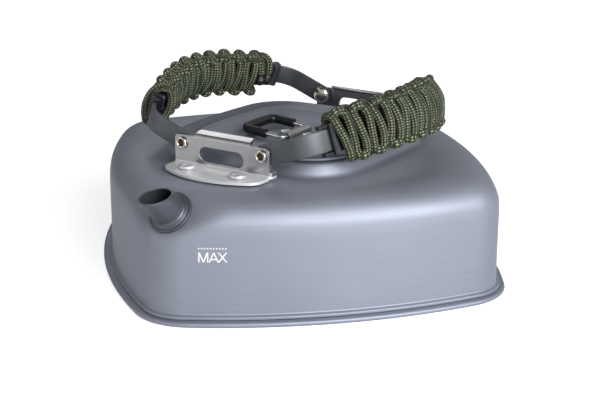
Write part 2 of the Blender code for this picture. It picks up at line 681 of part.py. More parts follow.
cuts = []
slot = arc((SLOT_HALF - SLOT_RADIUS, SLOT_HEIGHT), SLOT_RADIUS, -math.pi / 2, math.pi / 2, 6)
slot += arc((-SLOT_HALF + SLOT_RADIUS, SLOT_HEIGHT), SLOT_RADIUS, math.pi / 2, 3 * math.pi / 2, 6)
cuts.append(prism(slot, plate_in - 0.004, PLATE_OUT + 0.004, 0))
for across in (-1, 1):
    spot = (FOOT_RIVET_OUT, across * FOOT_RIVET_ACROSS, 0.0)
    bore = FOOT_RIVET_SHANK + BORE_GAP
    hole_profile = [(bore, FOOT_UNDER - 0.003), (bore, foot_top + 0.003)]
    cuts.append(loft(turned(hole_profile, 12, spot, (0, 0, 1), (1, 0, 0)), False))
    spot = (0.0, across * PIVOT_ACROSS, PIVOT_HEIGHT)
    hole_profile = [(PIVOT_SHANK + BORE_GAP, plate_in - 0.003), (PIVOT_SHANK + BORE_GAP, PLATE_OUT + 0.003)]
    cuts.append(loft(turned(hole_profile, 12, spot, (1, 0, 0), (0, 1, 0)), False))

for end, turn in (("front", DIAGONAL + math.pi), ("rear", DIAGONAL)):
    bracket = solid(end + "_bracket", prism(strip, -PLATE_HALF - 0.002, PLATE_HALF + 0.002, 1), STAINLESS)
    combine(bracket, prism(plan, 0.040, 0.080, 2), "INTERSECT")
    combine(bracket, prism(elevation, 0.045, 0.080, 0), "INTERSECT")
    combine(bracket, joined(tabs), "UNION")
    combine(bracket, joined(cuts), "DIFFERENCE")
    place(bracket, (0, 0, 0), 0.0, turn)

    foot_face = foot_top + SEAT
    tail_top = TOP_EDGE - SHEET - SEAT
    foot_rivet = [
        (FOOT_RIVET_RADIUS - 0.0010, tail_top - 0.0011),
        (FOOT_RIVET_RADIUS - 0.0004, tail_top),
        (FOOT_RIVET_SHANK, tail_top),
        (FOOT_RIVET_SHANK, foot_face),
        (FOOT_RIVET_RADIUS, foot_face),
        (FOOT_RIVET_RADIUS - 0.0004, foot_face + FOOT_RIVET_HEAD * 0.65),
        (FOOT_RIVET_RADIUS - 0.0022, foot_face + FOOT_RIVET_HEAD),
    ]
    head_face = plate_in - SEAT - STRAP_THICK - SEAT
    pivot_rivet = [
        (0.0012, head_face - PIVOT_HEAD),
        (0.0030, head_face - PIVOT_HEAD * 0.72),
        (PIVOT_HEAD_RADIUS, head_face - PIVOT_HEAD * 0.20),
        (PIVOT_HEAD_RADIUS, head_face),
        (PIVOT_SHANK, head_face),
        (PIVOT_SHANK, PLATE_OUT + SEAT),
        (EYELET_RADIUS, PLATE_OUT + SEAT),
        (EYELET_RADIUS - 0.0001, PLATE_OUT + SEAT + EYELET_LIP * 0.50),
        (EYELET_RADIUS - 0.0008, PLATE_OUT + SEAT + EYELET_LIP),
        (PIVOT_HOLLOW, PLATE_OUT + SEAT + EYELET_LIP * 0.60),
        (PIVOT_HOLLOW, head_face + 0.0010),
    ]
    for label, across in (("a", -1), ("b", 1)):
        shape = loft(turned(foot_rivet, 12, (0, 0, 0), (0, 0, 1), (1, 0, 0)), False)
        rivet = solid(end + "_foot_rivet_" + label, shape, STAINLESS)
        outward = FOOT_RIVET_OUT if end == "rear" else -FOOT_RIVET_OUT
        place(rivet, diagonal_point(outward, across * FOOT_RIVET_ACROSS, 0.0), 0.0, turn)
        shape = loft(turned(pivot_rivet, 12, (0, 0, 0), (1, 0, 0), (0, 1, 0)), False)
        rivet = solid(end + "_pivot_rivet_" + label, shape, EYELET_STEEL)
        place(rivet, diagonal_point(0.0, across * PIVOT_ACROSS, PIVOT_HEIGHT), 0.0, turn)

# Hoop of a handle in its own plane: x along the pivot line, y away from it, z across the strap.
run_drop = math.cos(HOOP_BEND_TURN)
crown_radius = STRAP_PLANE - HOOP_BEND_RADIUS * (1 - run_drop) - HOOP_RUN * math.sin(HOOP_BEND_TURN)
crown_radius /= run_drop
bend_end = HOOP_LEG + HOOP_BEND_RADIUS * HOOP_BEND_TURN
run_end = bend_end + HOOP_RUN
half_length = run_end + crown_radius * (math.pi / 2 - HOOP_BEND_TURN)
hoop_length = 2 * half_length


def hoop(stations):
    """Position and outward normal in the plane of the hoop, at each arc length from the first pivot."""
    stations = np.asarray(stations, float)
    near = np.where(stations > half_length, hoop_length - stations, stations)
    leg = np.minimum(near, HOOP_LEG)
    turn = np.clip((near - HOOP_LEG) / HOOP_BEND_RADIUS, 0.0, HOOP_BEND_TURN)
    run = np.clip(near - bend_end, 0.0, HOOP_RUN)
    crown = np.clip((near - run_end) / crown_radius, 0.0, None)
    x = -STRAP_PLANE + HOOP_BEND_RADIUS * (1 - np.cos(turn)) + run * math.sin(HOOP_BEND_TURN)
    x += crown_radius * (run_drop - np.cos(HOOP_BEND_TURN + crown))
    y = leg + HOOP_BEND_RADIUS * np.sin(turn) + run * run_drop
    y += crown_radius * (np.sin(HOOP_BEND_TURN + crown) - math.sin(HOOP_BEND_TURN))
    heading = turn + crown
    mirror = np.where(stations > half_length, -1.0, 1.0)
    place_at = np.stack([x * mirror, y, np.zeros_like(x)], axis=-1)
    normal = np.stack([-np.cos(heading) * mirror, np.sin(heading), np.zeros_like(x)], axis=-1)
    return place_at, normal


def hoop_stations(first, last, bend_steps, run_steps, crown_steps):
    """Arc lengths that follow the bends closely and the straights loosely, kept between two ends."""
    marks = [
        np.linspace(0, HOOP_LEG, 2),
        np.linspace(HOOP_LEG, bend_end, bend_steps + 1),
        np.linspace(bend_end, run_end, run_steps + 1),
        np.linspace(run_end, half_length, crown_steps + 1),
    ]
    half = np.unique(np.round(np.concatenate(marks), 9))
    both = np.unique(np.round(np.concatenate([half, hoop_length - half]), 9))
    kept = both[(both > first + 0.0006) & (both < last - 0.0006)]
    return np.concatenate([[first], kept, [last]])


def hoop_sections(stations, outline):
    """The outline (outward, across) carried along the hoop at the given arc lengths."""
    middle, normal = hoop(stations)
    upright = np.array([0.0, 0.0, 1.0])
    spread = outline[None, :, 0:1] * normal[:, None, :] + outline[None, :, 1:2] * upright
    return middle[:, None, :] + spread


def strap_shape():
    turns = np.linspace(math.radians(8), math.pi / 2, 6)
    ends = -STRAP_WIDTH / 2 * np.cos(turns)
    widths = np.concatenate([np.sin(turns), np.ones(1)])
    inside = hoop_stations(0.0, hoop_length, 6, 1, 3)[1:-1]
    stations = np.concatenate([ends, inside, hoop_length - ends[::-1]])
    share = np.concatenate([widths[:-1], np.ones(len(inside)), widths[:-1][::-1]])
    middle, normal = hoop(np.clip(stations, 0.0, hoop_length))
    middle[:, 1] -= np.maximum(-stations, 0.0) + np.maximum(stations - hoop_length, 0.0)
    corners = np.array([(1, 1), (-1, 1), (-1, -1), (1, -1)]) * (STRAP_THICK / 2, STRAP_WIDTH / 2)
    rings = []
    for k in range(len(stations)):
        across = np.outer(corners[:, 1] * share[k], (0.0, 0.0, 1.0))
        rings.append(middle[k] + np.outer(corners[:, 0], normal[k]) + across)
    return loft(rings, False)


def core_shape(first, last):
    stations = hoop_stations(first, last, 6, 1, 3)
    outside = hoop_sections(stations, rounded_box(CORE_THICK / 2, CORE_WIDTH / 2, CORE_CORNER, 1))
    inside = hoop_sections(stations, rounded_box(CAVITY_THICK / 2, CAVITY_WIDTH / 2, 0.0003, 1))
    return loft(np.concatenate([outside, inside[::-1]]), True)


def screw_shape(station, grow):
    """A screw on the inner face of the core, its shank reaching almost to the strap."""
    middle, normal = hoop([station])
    face = CORE_THICK / 2
    if grow:
        profile = [(SCREW_SHANK + BORE_GAP, face + 0.002), (SCREW_SHANK + BORE_GAP, STRAP_THICK / 2)]
    else:
        profile = [
            (SCREW_RADIUS - 0.0005, face + SEAT + SCREW_HEAD),
            (SCREW_RADIUS, face + SEAT + SCREW_HEAD * 0.4),
            (SCREW_RADIUS, face + SEAT),
            (SCREW_SHANK, face + SEAT),
            (SCREW_SHANK, STRAP_THICK / 2 + SEAT),
        ]
    return loft(turned(profile, 12, middle[0], -normal[0], (0, 0, 1)), False)


def cord_path(first, last, front_first):
    """Centreline of the winding: a rounded-rectangle helix round the core, even along the hoop.

    Near the front end the turns lean, so that the first one uncovers the inner face of the core.
    """
    reach = CORD_SEAT + CORD_RADIUS
    corner = CORE_CORNER + reach
    outline = rounded_box(CORE_THICK / 2 + reach, CORE_WIDTH / 2 + reach, corner, 2)
    gaps = np.linalg.norm(np.roll(outline, -1, axis=0) - outline, axis=1)
    share = np.concatenate([[0.0], np.cumsum(gaps)[:-1]]) / gaps.sum()
    turns = (np.arange(CORD_LOOPS)[:, None] + share[None, :]).reshape(-1)
    stations = first + (last - first) * turns / CORD_LOOPS
    outline = np.tile(outline, (CORD_LOOPS, 1))
    from_front = stations - first if front_first else last - stations
    fade = np.clip(1 - from_front / CORD_LEAN_FADE, 0.0, 1.0)
    lean = CORD_LEAN * fade * outline[:, 0] / outline[:, 0].max()
    stations = stations - lean if front_first else stations + lean
    middle, normal = hoop(stations)
    return middle + outline[:, 0:1] * normal + outline[:, 1:2] * np.array([0.0, 0.0, 1.0])


def least_gap(path, per_loop):
    """Least distance between the cord and itself one or more loops away, less its diameter."""
    fine = np.concatenate([path[:-1] + (path[1:] - path[:-1]) * share for share in (0.0, 0.25, 0.5, 0.75)])
    order = np.concatenate([np.arange(len(path) - 1) + share for share in (0.0, 0.25, 0.5, 0.75)])
    apart = np.linalg.norm(fine[:, None, :] - fine[None, :, :], axis=2)
    apart[np.abs(order[:, None] - order[None, :]) < per_loop * 0.6] = 1.0
    return apart.min() - 2 * CORD_RADIUS


def cord_shape(first, last, front_first):
    path = cord_path(first, last, front_first)
    heading = np.gradient(path, axis=0)
    heading /= np.linalg.norm(heading, axis=1)[:, None]
    across = np.zeros_like(path)
    across[0] = np.cross(heading[0], (0.0, 0.0, 1.0))
    for k in range(len(path)):
        carried = across[max(k - 1, 0)]
        carried = carried - heading[k] * (carried @ heading[k])
        across[k] = carried / np.linalg.norm(carried)
    gap = least_gap(path, len(path) // CORD_LOOPS)
    print("cord winding: least gap to itself", round(gap * 1000, 3), "mm")
    return loft(tube_rings(path, across, np.cross(heading, across), CORD_RADIUS, 6), False)


handles = (
    ("left", 1, LEFT_REST, DIAGONAL, True),
    ("right", -1, RIGHT_REST, DIAGONAL + math.pi, False),
)
for name, side, rest, turn, front_first in handles:
    pivot = diagonal_point(0.0, side * PIVOT_ACROSS, PIVOT_HEIGHT)
    strap = solid(name + "_arm_strap", strap_shape(), STRAP_STEEL)
    strap_holes = []
    for end in (-1, 1):
        spot = (end * STRAP_PLANE, 0.0, 0.0)
        hole_profile = [(PIVOT_SHANK + BORE_GAP, -0.003), (PIVOT_SHANK + BORE_GAP, 0.003)]
        strap_holes.append(loft(turned(hole_profile, 12, spot, (1, 0, 0), (0, 1, 0)), False))
    combine(strap, joined(strap_holes), "DIFFERENCE")
    place(strap, pivot, rest, turn)

    if front_first:
        core_ends = (CORE_FRONT, hoop_length - CORE_REAR)
        cord_ends = (CORD_FRONT, hoop_length - CORD_REAR)
        screw_spot = SCREW_FRONT
    else:
        core_ends = (CORE_REAR, hoop_length - CORE_FRONT)
        cord_ends = (CORD_REAR, hoop_length - CORD_FRONT)
        screw_spot = hoop_length - SCREW_FRONT
    core = solid(name + "_grip_core", core_shape(*core_ends), BLACK_PLASTIC)
    combine(core, screw_shape(screw_spot, True), "DIFFERENCE")
    place(core, pivot, rest, turn)
    screw = solid(name + "_core_screw", screw_shape(screw_spot, False), STAINLESS)
    place(screw, pivot, rest, turn)

    cord = solid(name + "_cord_winding", cord_shape(*cord_ends, front_first), OLIVE_CORD)
    place(cord, pivot, rest, turn)
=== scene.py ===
"""Square camp kettle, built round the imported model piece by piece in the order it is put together.

Metres, z up, standing on z = 0. u is the diagonal through the spout, which points to -u, and v crosses it.
"""

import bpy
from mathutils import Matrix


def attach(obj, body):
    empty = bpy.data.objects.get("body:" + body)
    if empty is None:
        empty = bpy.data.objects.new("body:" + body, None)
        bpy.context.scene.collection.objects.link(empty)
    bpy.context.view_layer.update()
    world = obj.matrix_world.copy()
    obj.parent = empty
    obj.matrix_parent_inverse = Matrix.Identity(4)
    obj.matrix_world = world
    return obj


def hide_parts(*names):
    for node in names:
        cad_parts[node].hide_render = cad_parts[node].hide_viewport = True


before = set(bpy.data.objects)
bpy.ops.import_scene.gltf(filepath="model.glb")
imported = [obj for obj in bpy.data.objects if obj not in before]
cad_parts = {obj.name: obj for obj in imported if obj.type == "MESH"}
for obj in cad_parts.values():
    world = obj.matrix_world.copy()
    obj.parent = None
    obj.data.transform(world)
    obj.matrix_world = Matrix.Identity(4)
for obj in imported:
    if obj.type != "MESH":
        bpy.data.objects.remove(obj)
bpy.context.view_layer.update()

import math

import bmesh
import bpy
import numpy as np
from mathutils import Matrix, Vector

# Studio: a pale plain floor under a white surround, a large soft lamp in front, a small one at the left and a
# dim one behind. Grey cards overhead and behind, out of sight, keep the top darker than the walls.
CAMERA_LENS = 80.9
CAMERA_PLACE = (-0.116383, -0.560747, 0.202276)
CAMERA_RIGHT = Vector((0.97860, -0.20577, 0.00243))
CAMERA_UP = Vector((0.05848, 0.28940, 0.95542))
AMBIENT = 0.16
MIRRORED_SHARE = 0.45
FLOOR_GLOW = 0.72
FAR_GLOW = 1.4
GLOW_FROM = 0.45
GLOW_TO = 1.10
CARD_HEIGHT = 0.75
CARD_BACK = 1.15
LAMP_AIM = Vector((0.0, 0.0, 0.03))
WHITE = (1.0, 1.0, 1.0, 1.0)


def linked(name, data):
    """An object for a camera, a lamp or a mesh, put in the scene."""
    made = bpy.data.objects.new(name, data)
    bpy.context.scene.collection.objects.link(made)
    return made


def set_inputs(node, values):
    """A node's sockets given their numbers or colours by name."""
    for socket, value in values.items():
        node.inputs[socket].default_value = value


def worked_out(nodes, links, operation, *values):
    """A Math node's result from numbers or other nodes' outputs."""
    step = nodes.new("ShaderNodeMath")
    step.operation = operation
    for socket, value in zip(step.inputs, values):
        if isinstance(value, (int, float)):
            socket.default_value = value
        else:
            links.new(value, socket)
    return step.outputs[0]


def white_to_sight(nodes, links, strength):
    """A value that is the strength for camera and glass rays, MIRRORED_SHARE of it for mirror rays, 0 for
    the rays that light things."""
    path = nodes.new("ShaderNodeLightPath")
    seen = worked_out(nodes, links, "MULTIPLY", path.outputs["Is Glossy Ray"], MIRRORED_SHARE)
    seen = worked_out(nodes, links, "MAXIMUM", path.outputs["Is Camera Ray"], seen)
    seen = worked_out(nodes, links, "MAXIMUM", seen, path.outputs["Is Transmission Ray"])
    return worked_out(nodes, links, "MULTIPLY", seen, strength)


def studio_sheet(name, corners, finish):
    """A flat sheet of the studio with four corners."""
    mesh = bpy.data.meshes.new(name)
    mesh.from_pydata(corners, [], [(0, 1, 2, 3)])
    mesh.materials.append(finish)
    return linked(name, mesh)


camera_data = bpy.data.cameras.new("camera")
camera_data.sensor_width = 36.0
camera_data.lens = CAMERA_LENS
camera_data.clip_start = 0.01
camera_data.clip_end = 100.0
camera = linked("camera", camera_data)
camera_turn = Matrix((CAMERA_RIGHT, CAMERA_UP, CAMERA_RIGHT.cross(CAMERA_UP))).transposed()
camera.matrix_world = Matrix.Translation(CAMERA_PLACE) @ camera_turn.to_4x4()
bpy.context.scene.camera = camera
bpy.context.scene.view_settings.view_transform = "Standard"

world = bpy.data.worlds.new("surround")
bpy.context.scene.world = world
world.use_nodes = True
world_nodes, world_links = world.node_tree.nodes, world.node_tree.links
surround = world_nodes["Background"]
surround.inputs["Color"].default_value = WHITE
seen_white = white_to_sight(world_nodes, world_links, 1.0 - AMBIENT)
lit_white = worked_out(world_nodes, world_links, "ADD", seen_white, AMBIENT)
world_links.new(lit_white, surround.inputs["Strength"])

floor_paper = bpy.data.materials.new("floor_paper")
floor_paper.use_nodes = True
floor_nodes, floor_links = floor_paper.node_tree.nodes, floor_paper.node_tree.links
paper = floor_nodes["Principled BSDF"]
set_inputs(paper, {"Base Color": (0.80, 0.80, 0.81, 1.0), "Roughness": 0.9})
set_inputs(paper, {"Specular IOR Level": 0.1, "Emission Color": WHITE})
floor_place = floor_nodes.new("ShaderNodeTexCoord")
floor_reach = floor_nodes.new("ShaderNodeVectorMath")
floor_reach.operation = "LENGTH"
floor_links.new(floor_place.outputs["Object"], floor_reach.inputs[0])
far_off = floor_nodes.new("ShaderNodeMapRange")
set_inputs(far_off, {"From Min": GLOW_FROM, "From Max": GLOW_TO, "To Min": 1.0, "To Max": FAR_GLOW})
floor_links.new(floor_reach.outputs["Value"], far_off.inputs["Value"])
seen_white = white_to_sight(floor_nodes, floor_links, FLOOR_GLOW)
floor_white = worked_out(floor_nodes, floor_links, "MULTIPLY", seen_white, far_off.outputs["Result"])
floor_links.new(floor_white, paper.inputs["Emission Strength"])
floor = studio_sheet("floor", [(-4, -4, 0), (4, -4, 0), (4, 6, 0), (-4, 6, 0)], floor_paper)

card_grey = bpy.data.materials.new("card_grey")
card_grey.use_nodes = True
card_shader = card_grey.node_tree.nodes["Principled BSDF"]
set_inputs(card_shader, {"Base Color": (0.10, 0.10, 0.11, 1.0), "Roughness": 0.9})
level_corners = ((-0.55, -0.35), (0.55, -0.35), (0.55, 0.65), (-0.55, 0.65))
upright_corners = ((-1.40, 0.0), (1.40, 0.0), (1.40, 0.46), (-1.40, 0.46))
for card_name, corners in (
    ("overhead_card", [(x, y, CARD_HEIGHT) for x, y in level_corners]),
    ("rear_card", [(x, CARD_BACK, z) for x, z in upright_corners]),
):
    card = studio_sheet(card_name, corners, card_grey)
    card.visible_camera = False

for lamp_name, spot, width, height, power in (
    ("lamp_key", (0.38, -1.00, 0.56), 0.90, 0.90, 18.9),
    ("lamp_left", (-1.20, -0.21, 0.38), 0.34, 0.16, 0.7),
    ("lamp_rear", (-0.12, 1.10, 1.04), 0.40, 0.40, 1.4),
):
    lamp_data = bpy.data.lights.new(lamp_name, "AREA")
    lamp_data.shape = "RECTANGLE"
    lamp_data.size = width
    lamp_data.size_y = height
    lamp_data.energy = power
    lamp = linked(lamp_name, lamp_data)
    lamp.location = spot
    lamp.rotation_euler = (LAMP_AIM - Vector(spot)).to_track_quat("-Z", "Y").to_euler()

# Body shell: one aluminium blank drawn into a square dome, with a boss raised on top and a flat pressed at
# one corner for the spout, then bead-blasted and hard anodised. Its foot is folded over the base pan.
RIM_HALF = 0.0850
RIM_SIDE_RADIUS = 0.2334
RIM_CORNER_RADIUS = 0.0221
WALL_INSET = 0.0040
PAN_LEDGE = 0.0024
WALL_TOP = 0.0382
SHEET = 0.0012
CLEARANCE = 0.0003
LIP_OUT = 0.0014
SHOULDER_RUN = 0.0165
SHOULDER_RISE = 0.0124
TOP_EDGE = WALL_TOP + SHOULDER_RISE
BOSS_FOOT_HALF = 0.0488
BOSS_TOP_HALF = 0.0434
BOSS_TOP = 0.0570
BOSS_SIDE_RADIUS = 0.2500
BOSS_CORNER_RADIUS = 0.0190
MOUTH_HALF = 0.0340
NECK_BOTTOM = 0.0530
SPOUT_OUT = 0.08807
SPOUT_HEIGHT = 0.04252
SPOUT_RISE = math.radians(44.3)
BORE_RADIUS = 0.0069
BORE_REACH = 0.012
FLAT_BLEND = 0.0030
BODY_POINTS = 464
LEAST_CORNER = 0.0012
ROOT_HALF = math.sqrt(0.5)
DIAGONAL = math.radians(45.0)

turn_diagonal = np.array([[ROOT_HALF, -ROOT_HALF, 0.0], [ROOT_HALF, ROOT_HALF, 0.0], [0.0, 0.0, 1.0]])
spout_axis = np.array([-math.cos(SPOUT_RISE), 0.0, math.sin(SPOUT_RISE)])
spout_up = np.array([math.sin(SPOUT_RISE), 0.0, math.cos(SPOUT_RISE)])
spout_seat = np.array([-SPOUT_OUT, 0.0, SPOUT_HEIGHT])


def square_radius(angles, half, side_radius, corner_radius):
    """Distance from the centre to a rounded square: near each side the root of the side arc's circle, near
    each corner the root of the corner arc's circle, joined where the two arcs share a tangent."""
    back = side_radius - half
    reach = side_radius - corner_radius
    centre = (-back + math.sqrt(2 * reach**2 - back**2)) / 2
    turn = math.atan2(centre, centre + back)
    limit = math.atan2(side_radius * math.sin(turn), side_radius * math.cos(turn) - back)
    folded = np.abs((angles + math.pi / 4) % (math.pi / 2) - math.pi / 4)
    side = -back * np.cos(folded) + np.sqrt(side_radius**2 - (back * np.sin(folded)) ** 2)
    toward = centre * (np.cos(folded) + np.sin(folded))
    corner = toward + np.sqrt(np.maximum(corner_radius**2 - 2 * centre**2 + toward**2, 0.0))
    return np.where(folded <= limit, side, corner)


def polar_angles(count, tighten):
    """Angles round the full turn, crowded toward every eighth turn by taking off tighten * sin(8 t) / 8."""
    even = np.linspace(0, 2 * math.pi, count, endpoint=False)
    return even - tighten * np.sin(8 * even) / 8


def level_ring(angles, radii, height):
    """Points at the given polar angles and distances, all at one height."""
    return np.stack([radii * np.cos(angles), radii * np.sin(angles), np.full_like(angles, height)], axis=-1)


def rolled_rows(rows, passes, closed=False):
    """Corner cutting along the first axis: each pass replaces a step by its points at a quarter and at three
    quarters, so that a coarse profile becomes as smooth as a press leaves it. Open ends stay in place."""
    rows = np.asarray(rows, float)
    for _ in range(passes):
        after = np.roll(rows, -1, axis=0) if closed else rows[1:]
        before = rows if closed else rows[:-1]
        cut = np.stack([0.75 * before + 0.25 * after, 0.25 * before + 0.75 * after], axis=1)
        cut = cut.reshape(-1, *rows.shape[1:])
        rows = cut if closed else np.concatenate([rows[:1], cut, rows[-1:]])
    return rows


def skin(rows, wrap_rows=False, cap=True):
    """A grid of points (row, place round the ring, xyz) as vertices and quads; the ring direction always
    closes, wrap_rows closes the other one, and cap shuts an open tube's two ends."""
    count, round_count = rows.shape[:2]
    index = np.arange(count * round_count).reshape(count, round_count)
    near = index if wrap_rows else index[:-1]
    far = np.roll(index, -1, axis=0) if wrap_rows else index[1:]
    quads = np.stack([near, np.roll(near, -1, axis=1), np.roll(far, -1, axis=1), far], axis=-1)
    faces = quads.reshape(-1, 4).tolist()
    if cap and not wrap_rows:
        faces += [index[0, ::-1].tolist(), index[-1].tolist()]
    return rows.reshape(-1, 3), faces


def joined(shapes):
    """Several closed shells as one list of vertices and one of faces."""
    vertices, faces, start = [], [], 0
    for points, polygons in shapes:
        vertices.append(np.asarray(points, float))
        faces += [[start + k for k in polygon] for polygon in polygons]
        start += len(points)
    return np.concatenate(vertices), faces


def made_piece(name, shape, finish, sharp=35.0):
    """A mesh object at the origin from vertices and faces, its normals turned outward, smooth except where
    two faces meet more sharply than the given angle in degrees."""
    points, faces = shape
    mesh = bpy.data.meshes.new(name)
    mesh.from_pydata(np.asarray(points, float).tolist(), [], faces)
    work = bmesh.new()
    work.from_mesh(mesh)
    bmesh.ops.recalc_face_normals(work, faces=work.faces)
    if work.calc_volume(signed=True) < 0:
        bmesh.ops.reverse_faces(work, faces=work.faces)
    work.to_mesh(mesh)
    work.free()
    mesh.materials.append(finish)
    mesh.shade_smooth()
    mesh.set_sharp_from_angle(angle=math.radians(sharp))
    return linked(name, mesh)


def worked(target, shape, operation, sharp=35.0):
    """The target with a closed shape cut from it, joined to it, or kept as its only remainder."""
    finish = target.data.materials[0]
    tool = made_piece("tool", shape, finish)
    change = target.modifiers.new("change", "BOOLEAN")
    change.operation = operation
    change.solver = "EXACT"
    change.object = tool
    bpy.context.view_layer.update()
    made = bpy.data.meshes.new_from_object(target.evaluated_get(bpy.context.evaluated_depsgraph_get()))
    target.modifiers.clear()
    target.data = made
    bpy.data.objects.remove(tool, do_unlink=True)
    made.materials.clear()
    made.materials.append(finish)
    made.shade_smooth()
    made.set_sharp_from_angle(angle=math.radians(sharp))
    return target


def fitted(piece, body, slot, *nodes):
    """The piece rides on its body and stands for its CAD nodes, which are hidden. The slot is not used."""
    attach(piece, body)
    if nodes:
        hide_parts(*nodes)
    return piece


def turned_rings(profile, count, origin, axis, side):
    """A profile of (radius, distance along the axis) swung about the axis: origin + axis * distance +
    radius * (side * cos t + (axis x side) * sin t)."""
    profile = np.asarray(profile, float)
    axis = np.asarray(axis, float)
    side = np.asarray(side, float)
    turn = np.linspace(0, 2 * math.pi, count, endpoint=False)
    spread = np.outer(np.cos(turn), side) + np.outer(np.sin(turn), np.cross(axis, side))
    middle = np.asarray(origin, float) + profile[:, 1:2] * axis
    return middle[:, None, :] + profile[:, 0][:, None, None] * spread[None]


def press_flat(points, depth):
    """Points above the spout's seat plane are pushed back onto it along its normal; within FLAT_BLEND of the
    plane the push grows with the square of the distance, which rounds the edge of the flat."""
    normal = turn_diagonal @ spout_axis
    above = (points - turn_diagonal @ spout_seat) @ normal + depth
    blended = np.where(above > FLAT_BLEND, 0.0, above - (above + FLAT_BLEND) ** 2 / (4 * FLAT_BLEND))
    pressed = np.where(above < -FLAT_BLEND, above, blended)
    return points + (pressed - above)[..., None] * normal


class Finish:
    """A new material with its shader at hand, and short ways to lay noise, ramps and bumps on it."""

    def __init__(self, name, colour, roughness, metallic):
        self.material = bpy.data.materials.new(name)
        self.material.use_nodes = True
        self.nodes = self.material.node_tree.nodes
        self.links = self.material.node_tree.links
        self.shader = self.nodes["Principled BSDF"]
        set_inputs(self.shader, {"Base Color": (*colour, 1.0), "Roughness": roughness, "Metallic": metallic})
        self.material.diffuse_color = (*colour, 1.0)
        self.place = self.nodes.new("ShaderNodeTexCoord").outputs["Object"]
        self.bumps = None

    def stretched(self, x, y, z):
        """The object's coordinates scaled unevenly, for grain that runs one way."""
        mapping = self.nodes.new("ShaderNodeMapping")
        mapping.inputs["Scale"].default_value = (x, y, z)
        self.links.new(self.place, mapping.inputs["Vector"])
        return mapping.outputs["Vector"]

    def noise(self, scale, detail=3.0, source=None, roughness=0.5):
        """Cloudy noise of about one feature per 1 / scale metres."""
        cloud = self.nodes.new("ShaderNodeTexNoise")
        set_inputs(cloud, {"Scale": scale, "Detail": detail, "Roughness": roughness})
        self.links.new(source or self.place, cloud.inputs["Vector"])
        return cloud.outputs["Fac"]

    def spread(self, value, low, high, out_low=0.0, out_high=1.0):
        """The value's span from low to high laid onto another span, and held inside it."""
        span = self.nodes.new("ShaderNodeMapRange")
        set_inputs(span, {"From Min": low, "From Max": high, "To Min": out_low, "To Max": out_high})
        self.links.new(value, span.inputs["Value"])
        return span.outputs["Result"]

    def swing(self, noise, low, high):
        """The middle span of a noise, 0.3 to 0.7, laid onto low to high."""
        return self.spread(noise, 0.3, 0.7, low, high)

    def sum(self, first, second, operation="ADD"):
        """Two values added, or put together by another plain operation."""
        return worked_out(self.nodes, self.links, operation, first, second)

    def times(self, first, second):
        """Two values multiplied."""
        return self.sum(first, second, "MULTIPLY")

    def blend(self, share, first, second):
        """A colour from the first to the second by the share."""
        mix = self.nodes.new("ShaderNodeMix")
        mix.data_type = "RGBA"
        for socket, value in ((mix.inputs[6], first), (mix.inputs[7], second)):
            if isinstance(value, tuple):
                socket.default_value = (*value, 1.0)
            else:
                self.links.new(value, socket)
        self.links.new(share, mix.inputs[0])
        return mix.outputs[2]

    def colour(self, value):
        """The value as the surface's colour."""
        self.links.new(value, self.shader.inputs["Base Color"])

    def rough(self, value):
        """The value as the surface's roughness."""
        self.links.new(value, self.shader.inputs["Roughness"])

    def bump(self, height, strength, depth):
        """Relief from a height between 0 and 1; later bumps ride on earlier ones."""
        relief = self.nodes.new("ShaderNodeBump")
        set_inputs(relief, {"Strength": strength, "Distance": depth})
        self.links.new(height, relief.inputs["Height"])
        if self.bumps is not None:
            self.links.new(self.bumps, relief.inputs["Normal"])
        self.bumps = relief.outputs["Normal"]
        self.links.new(self.bumps, self.shader.inputs["Normal"])

    def grain(self, scale, detail, smooth, dull, strength, depth):
        """One noise that swings the roughness from smooth to dull and also raises the surface."""
        fine = self.noise(scale, detail)
        self.rough(self.swing(fine, smooth, dull))
        self.bump(fine, strength, depth)
        return fine


def edge_wear(finish, low, high):
    """A share that is 0 on flats and 1 on convex edges, from the mesh's own pointiness."""
    geometry = finish.nodes.new("ShaderNodeNewGeometry")
    return finish.spread(geometry.outputs["Pointiness"], low, high)


def anodised_look(name, dark, mid, light, rough):
    """Blasted and anodised aluminium: fine even grit, faint turning marks round the walls, cloudy dye, and
    edges that handling has burnished a little lighter."""
    look = Finish(name, mid, rough, 0.70)
    clouds = look.noise(28.0, 4.0)
    grit = look.noise(2600.0, 2.0)
    draw = look.noise(1.0, 3.0, look.stretched(30.0, 30.0, 700.0), 0.6)
    dye = look.sum(look.swing(clouds, -0.16, 0.16), look.swing(grit, -0.14, 0.14))
    dye = look.sum(dye, look.swing(draw, -0.10, 0.10))
    base = look.blend(look.spread(dye, -0.42, 0.42), dark, light)
    look.colour(look.blend(look.times(edge_wear(look, 0.53, 0.60), 0.35), base, light))
    look.rough(look.sum(look.swing(clouds, rough - 0.04, rough + 0.04), look.swing(grit, -0.05, 0.05)))
    look.bump(grit, 0.25, 0.00006)
    look.bump(draw, 0.06, 0.00008)
    return look.material


anodised_grey = anodised_look(
    "anodised_grey", (0.252, 0.273, 0.330), (0.282, 0.305, 0.364), (0.314, 0.338, 0.400), 0.56
)

body_angles = polar_angles(BODY_POINTS, 0.40)
wall_half = RIM_HALF - WALL_INSET
wall_side = RIM_SIDE_RADIUS - WALL_INSET
wall_corner = RIM_CORNER_RADIUS - WALL_INSET


def wall_ring(inset, height):
    """The wall's outline moved inward by the inset, at one height."""
    corner = max(wall_corner - inset, LEAST_CORNER)
    radii = square_radius(body_angles, wall_half - inset, wall_side - inset, corner)
    return level_ring(body_angles, radii, height)


